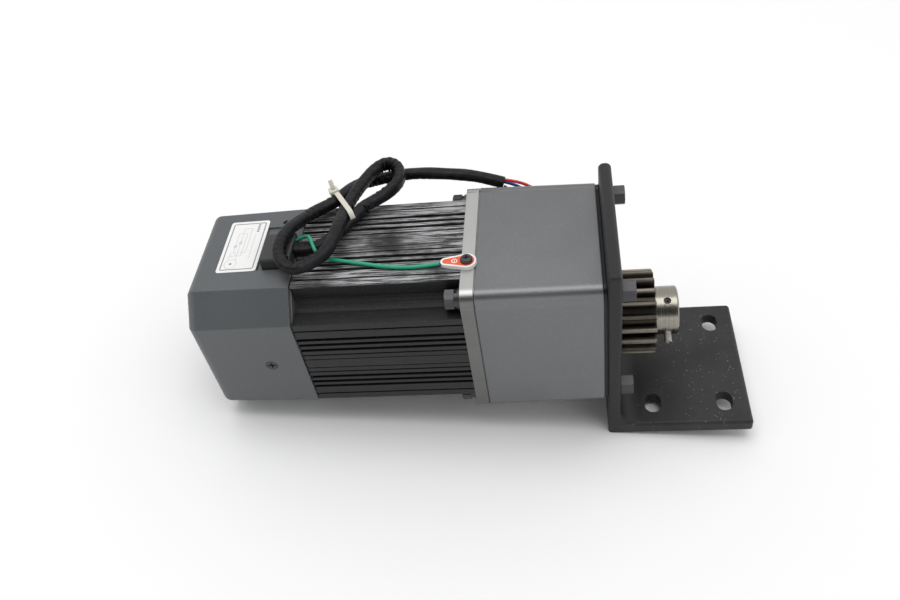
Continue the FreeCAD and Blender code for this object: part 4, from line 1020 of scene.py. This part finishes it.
# %% [markdown]
# ## Studio
# The motor stands as it does on a bench: on the bracket's heel and the fan
# cover's lower edge, because the foot alone can't carry it.  The floor is
# tilted under the frame by that lean.  The sky is white all round and above,
# with one dark patch where the camera stands, so that surfaces turned toward
# the camera go dark and the tops shine.  One soft lamp hangs overhead, and a
# long low one lifts the fronts and the shadow.

# %% Floor
LEAN = math.radians(6.9)
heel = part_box("mounting_bracket")[0]


def pale_floor():
    """White plane, tilted by the lean, that can't be seen from below."""
    bpy.ops.object.select_all(action="DESELECT")
    bpy.ops.mesh.primitive_plane_add(size=6, location=(0, 0, 0))
    floor = bpy.context.object
    floor.name = "floor"
    bpy.ops.object.mode_set(mode="EDIT")
    bpy.ops.mesh.select_all(action="SELECT")
    bpy.ops.transform.rotate(value=-LEAN, orient_axis="Y", center_override=(0, 0, 0))
    bpy.ops.transform.translate(value=(heel.x, 0, heel.z - 0.1 * MM))
    bpy.ops.object.mode_set(mode="OBJECT")
    face = floor.data.polygons[0].normal
    print("floor normal:", [round(c, 4) for c in face])
    white = Finish("floor_white", Roughness=0.9, Specular_IOR_Level=0.1)
    white.surface((0.93, 0.93, 0.93))
    from_below = white.node("ShaderNodeNewGeometry", out="Backfacing")
    clear = white.node("ShaderNodeBsdfTransparent")
    mix = white.node("ShaderNodeMixShader", _0=from_below, _1=white.shader.outputs[0], _2=clear)
    white.plug(mix, white.output.inputs[0])
    floor.data.materials.append(white.material)
    return floor


floor = pale_floor()


# %% Lamps
def soft_light(name, place, aim, size, watts):
    """Rectangular lamp that faces a point."""
    bpy.ops.object.select_all(action="DESELECT")
    bpy.ops.object.light_add(type="AREA", location=place)
    lamp = bpy.context.object
    lamp.name = name
    lamp.rotation_euler = (Vector(aim) - Vector(place)).to_track_quat("-Z", "Y").to_euler()
    lamp.data.shape = "RECTANGLE"
    lamp.data.size, lamp.data.size_y = size
    lamp.data.energy = watts
    return lamp


middle = (Vector(cad_box[0]) + Vector(cad_box[1])) / 2
# Name, place in metres, width and height in metres, power in watts.
for name, place, size, watts in (("overhead", (-0.1, 0.05, 2.2), (1.8, 1.4), 19),
                                 ("low_front", (-0.1, -1.7, 0.35), (2.6, 0.5), 2)):
    soft_light(name, place, middle, size, watts)
    print("lamp:", name, watts, "W")


# %% Sky
PATCH_WAY = Vector((-0.08, -0.72, 0.69)).normalized()
SKY, PATCH = 0.96, 0.05
# The patch fades in between these cosines to its middle, and between these
# heights above the horizon.
PATCH_COSINES = (0.72, 0.93)
PATCH_HEIGHTS = (0.06, 0.28)
world = bpy.data.worlds.new("studio")
bpy.context.scene.world = world
world.use_nodes = True
sky = Graph(world.node_tree)
way = sky.node("ShaderNodeTexCoord", out="Generated")
toward = Value(sky, sky.node("ShaderNodeVectorMath", {"operation": "DOT_PRODUCT"}, out="Value",
                             _0=way, _1=PATCH_WAY))
height = Value(sky, sky.node("ShaderNodeSeparateXYZ", out="Z", _0=way))
patch = sky.step(toward, *PATCH_COSINES) * sky.step(height, *PATCH_HEIGHTS)
strength = SKY - (SKY - PATCH) * patch
light = sky.node("ShaderNodeBackground", Color=(1.0, 1.0, 1.0, 1.0), Strength=strength)
sky.node("ShaderNodeOutputWorld", out=None, _0=light)
bpy.context.scene.view_settings.view_transform = "Standard"
print("sky:", SKY, "with a patch of", PATCH)

# %% [markdown]
# ## Close the frame
# The view layer is brought up to date once more.

# %% Finish
bpy.context.view_layer.update()
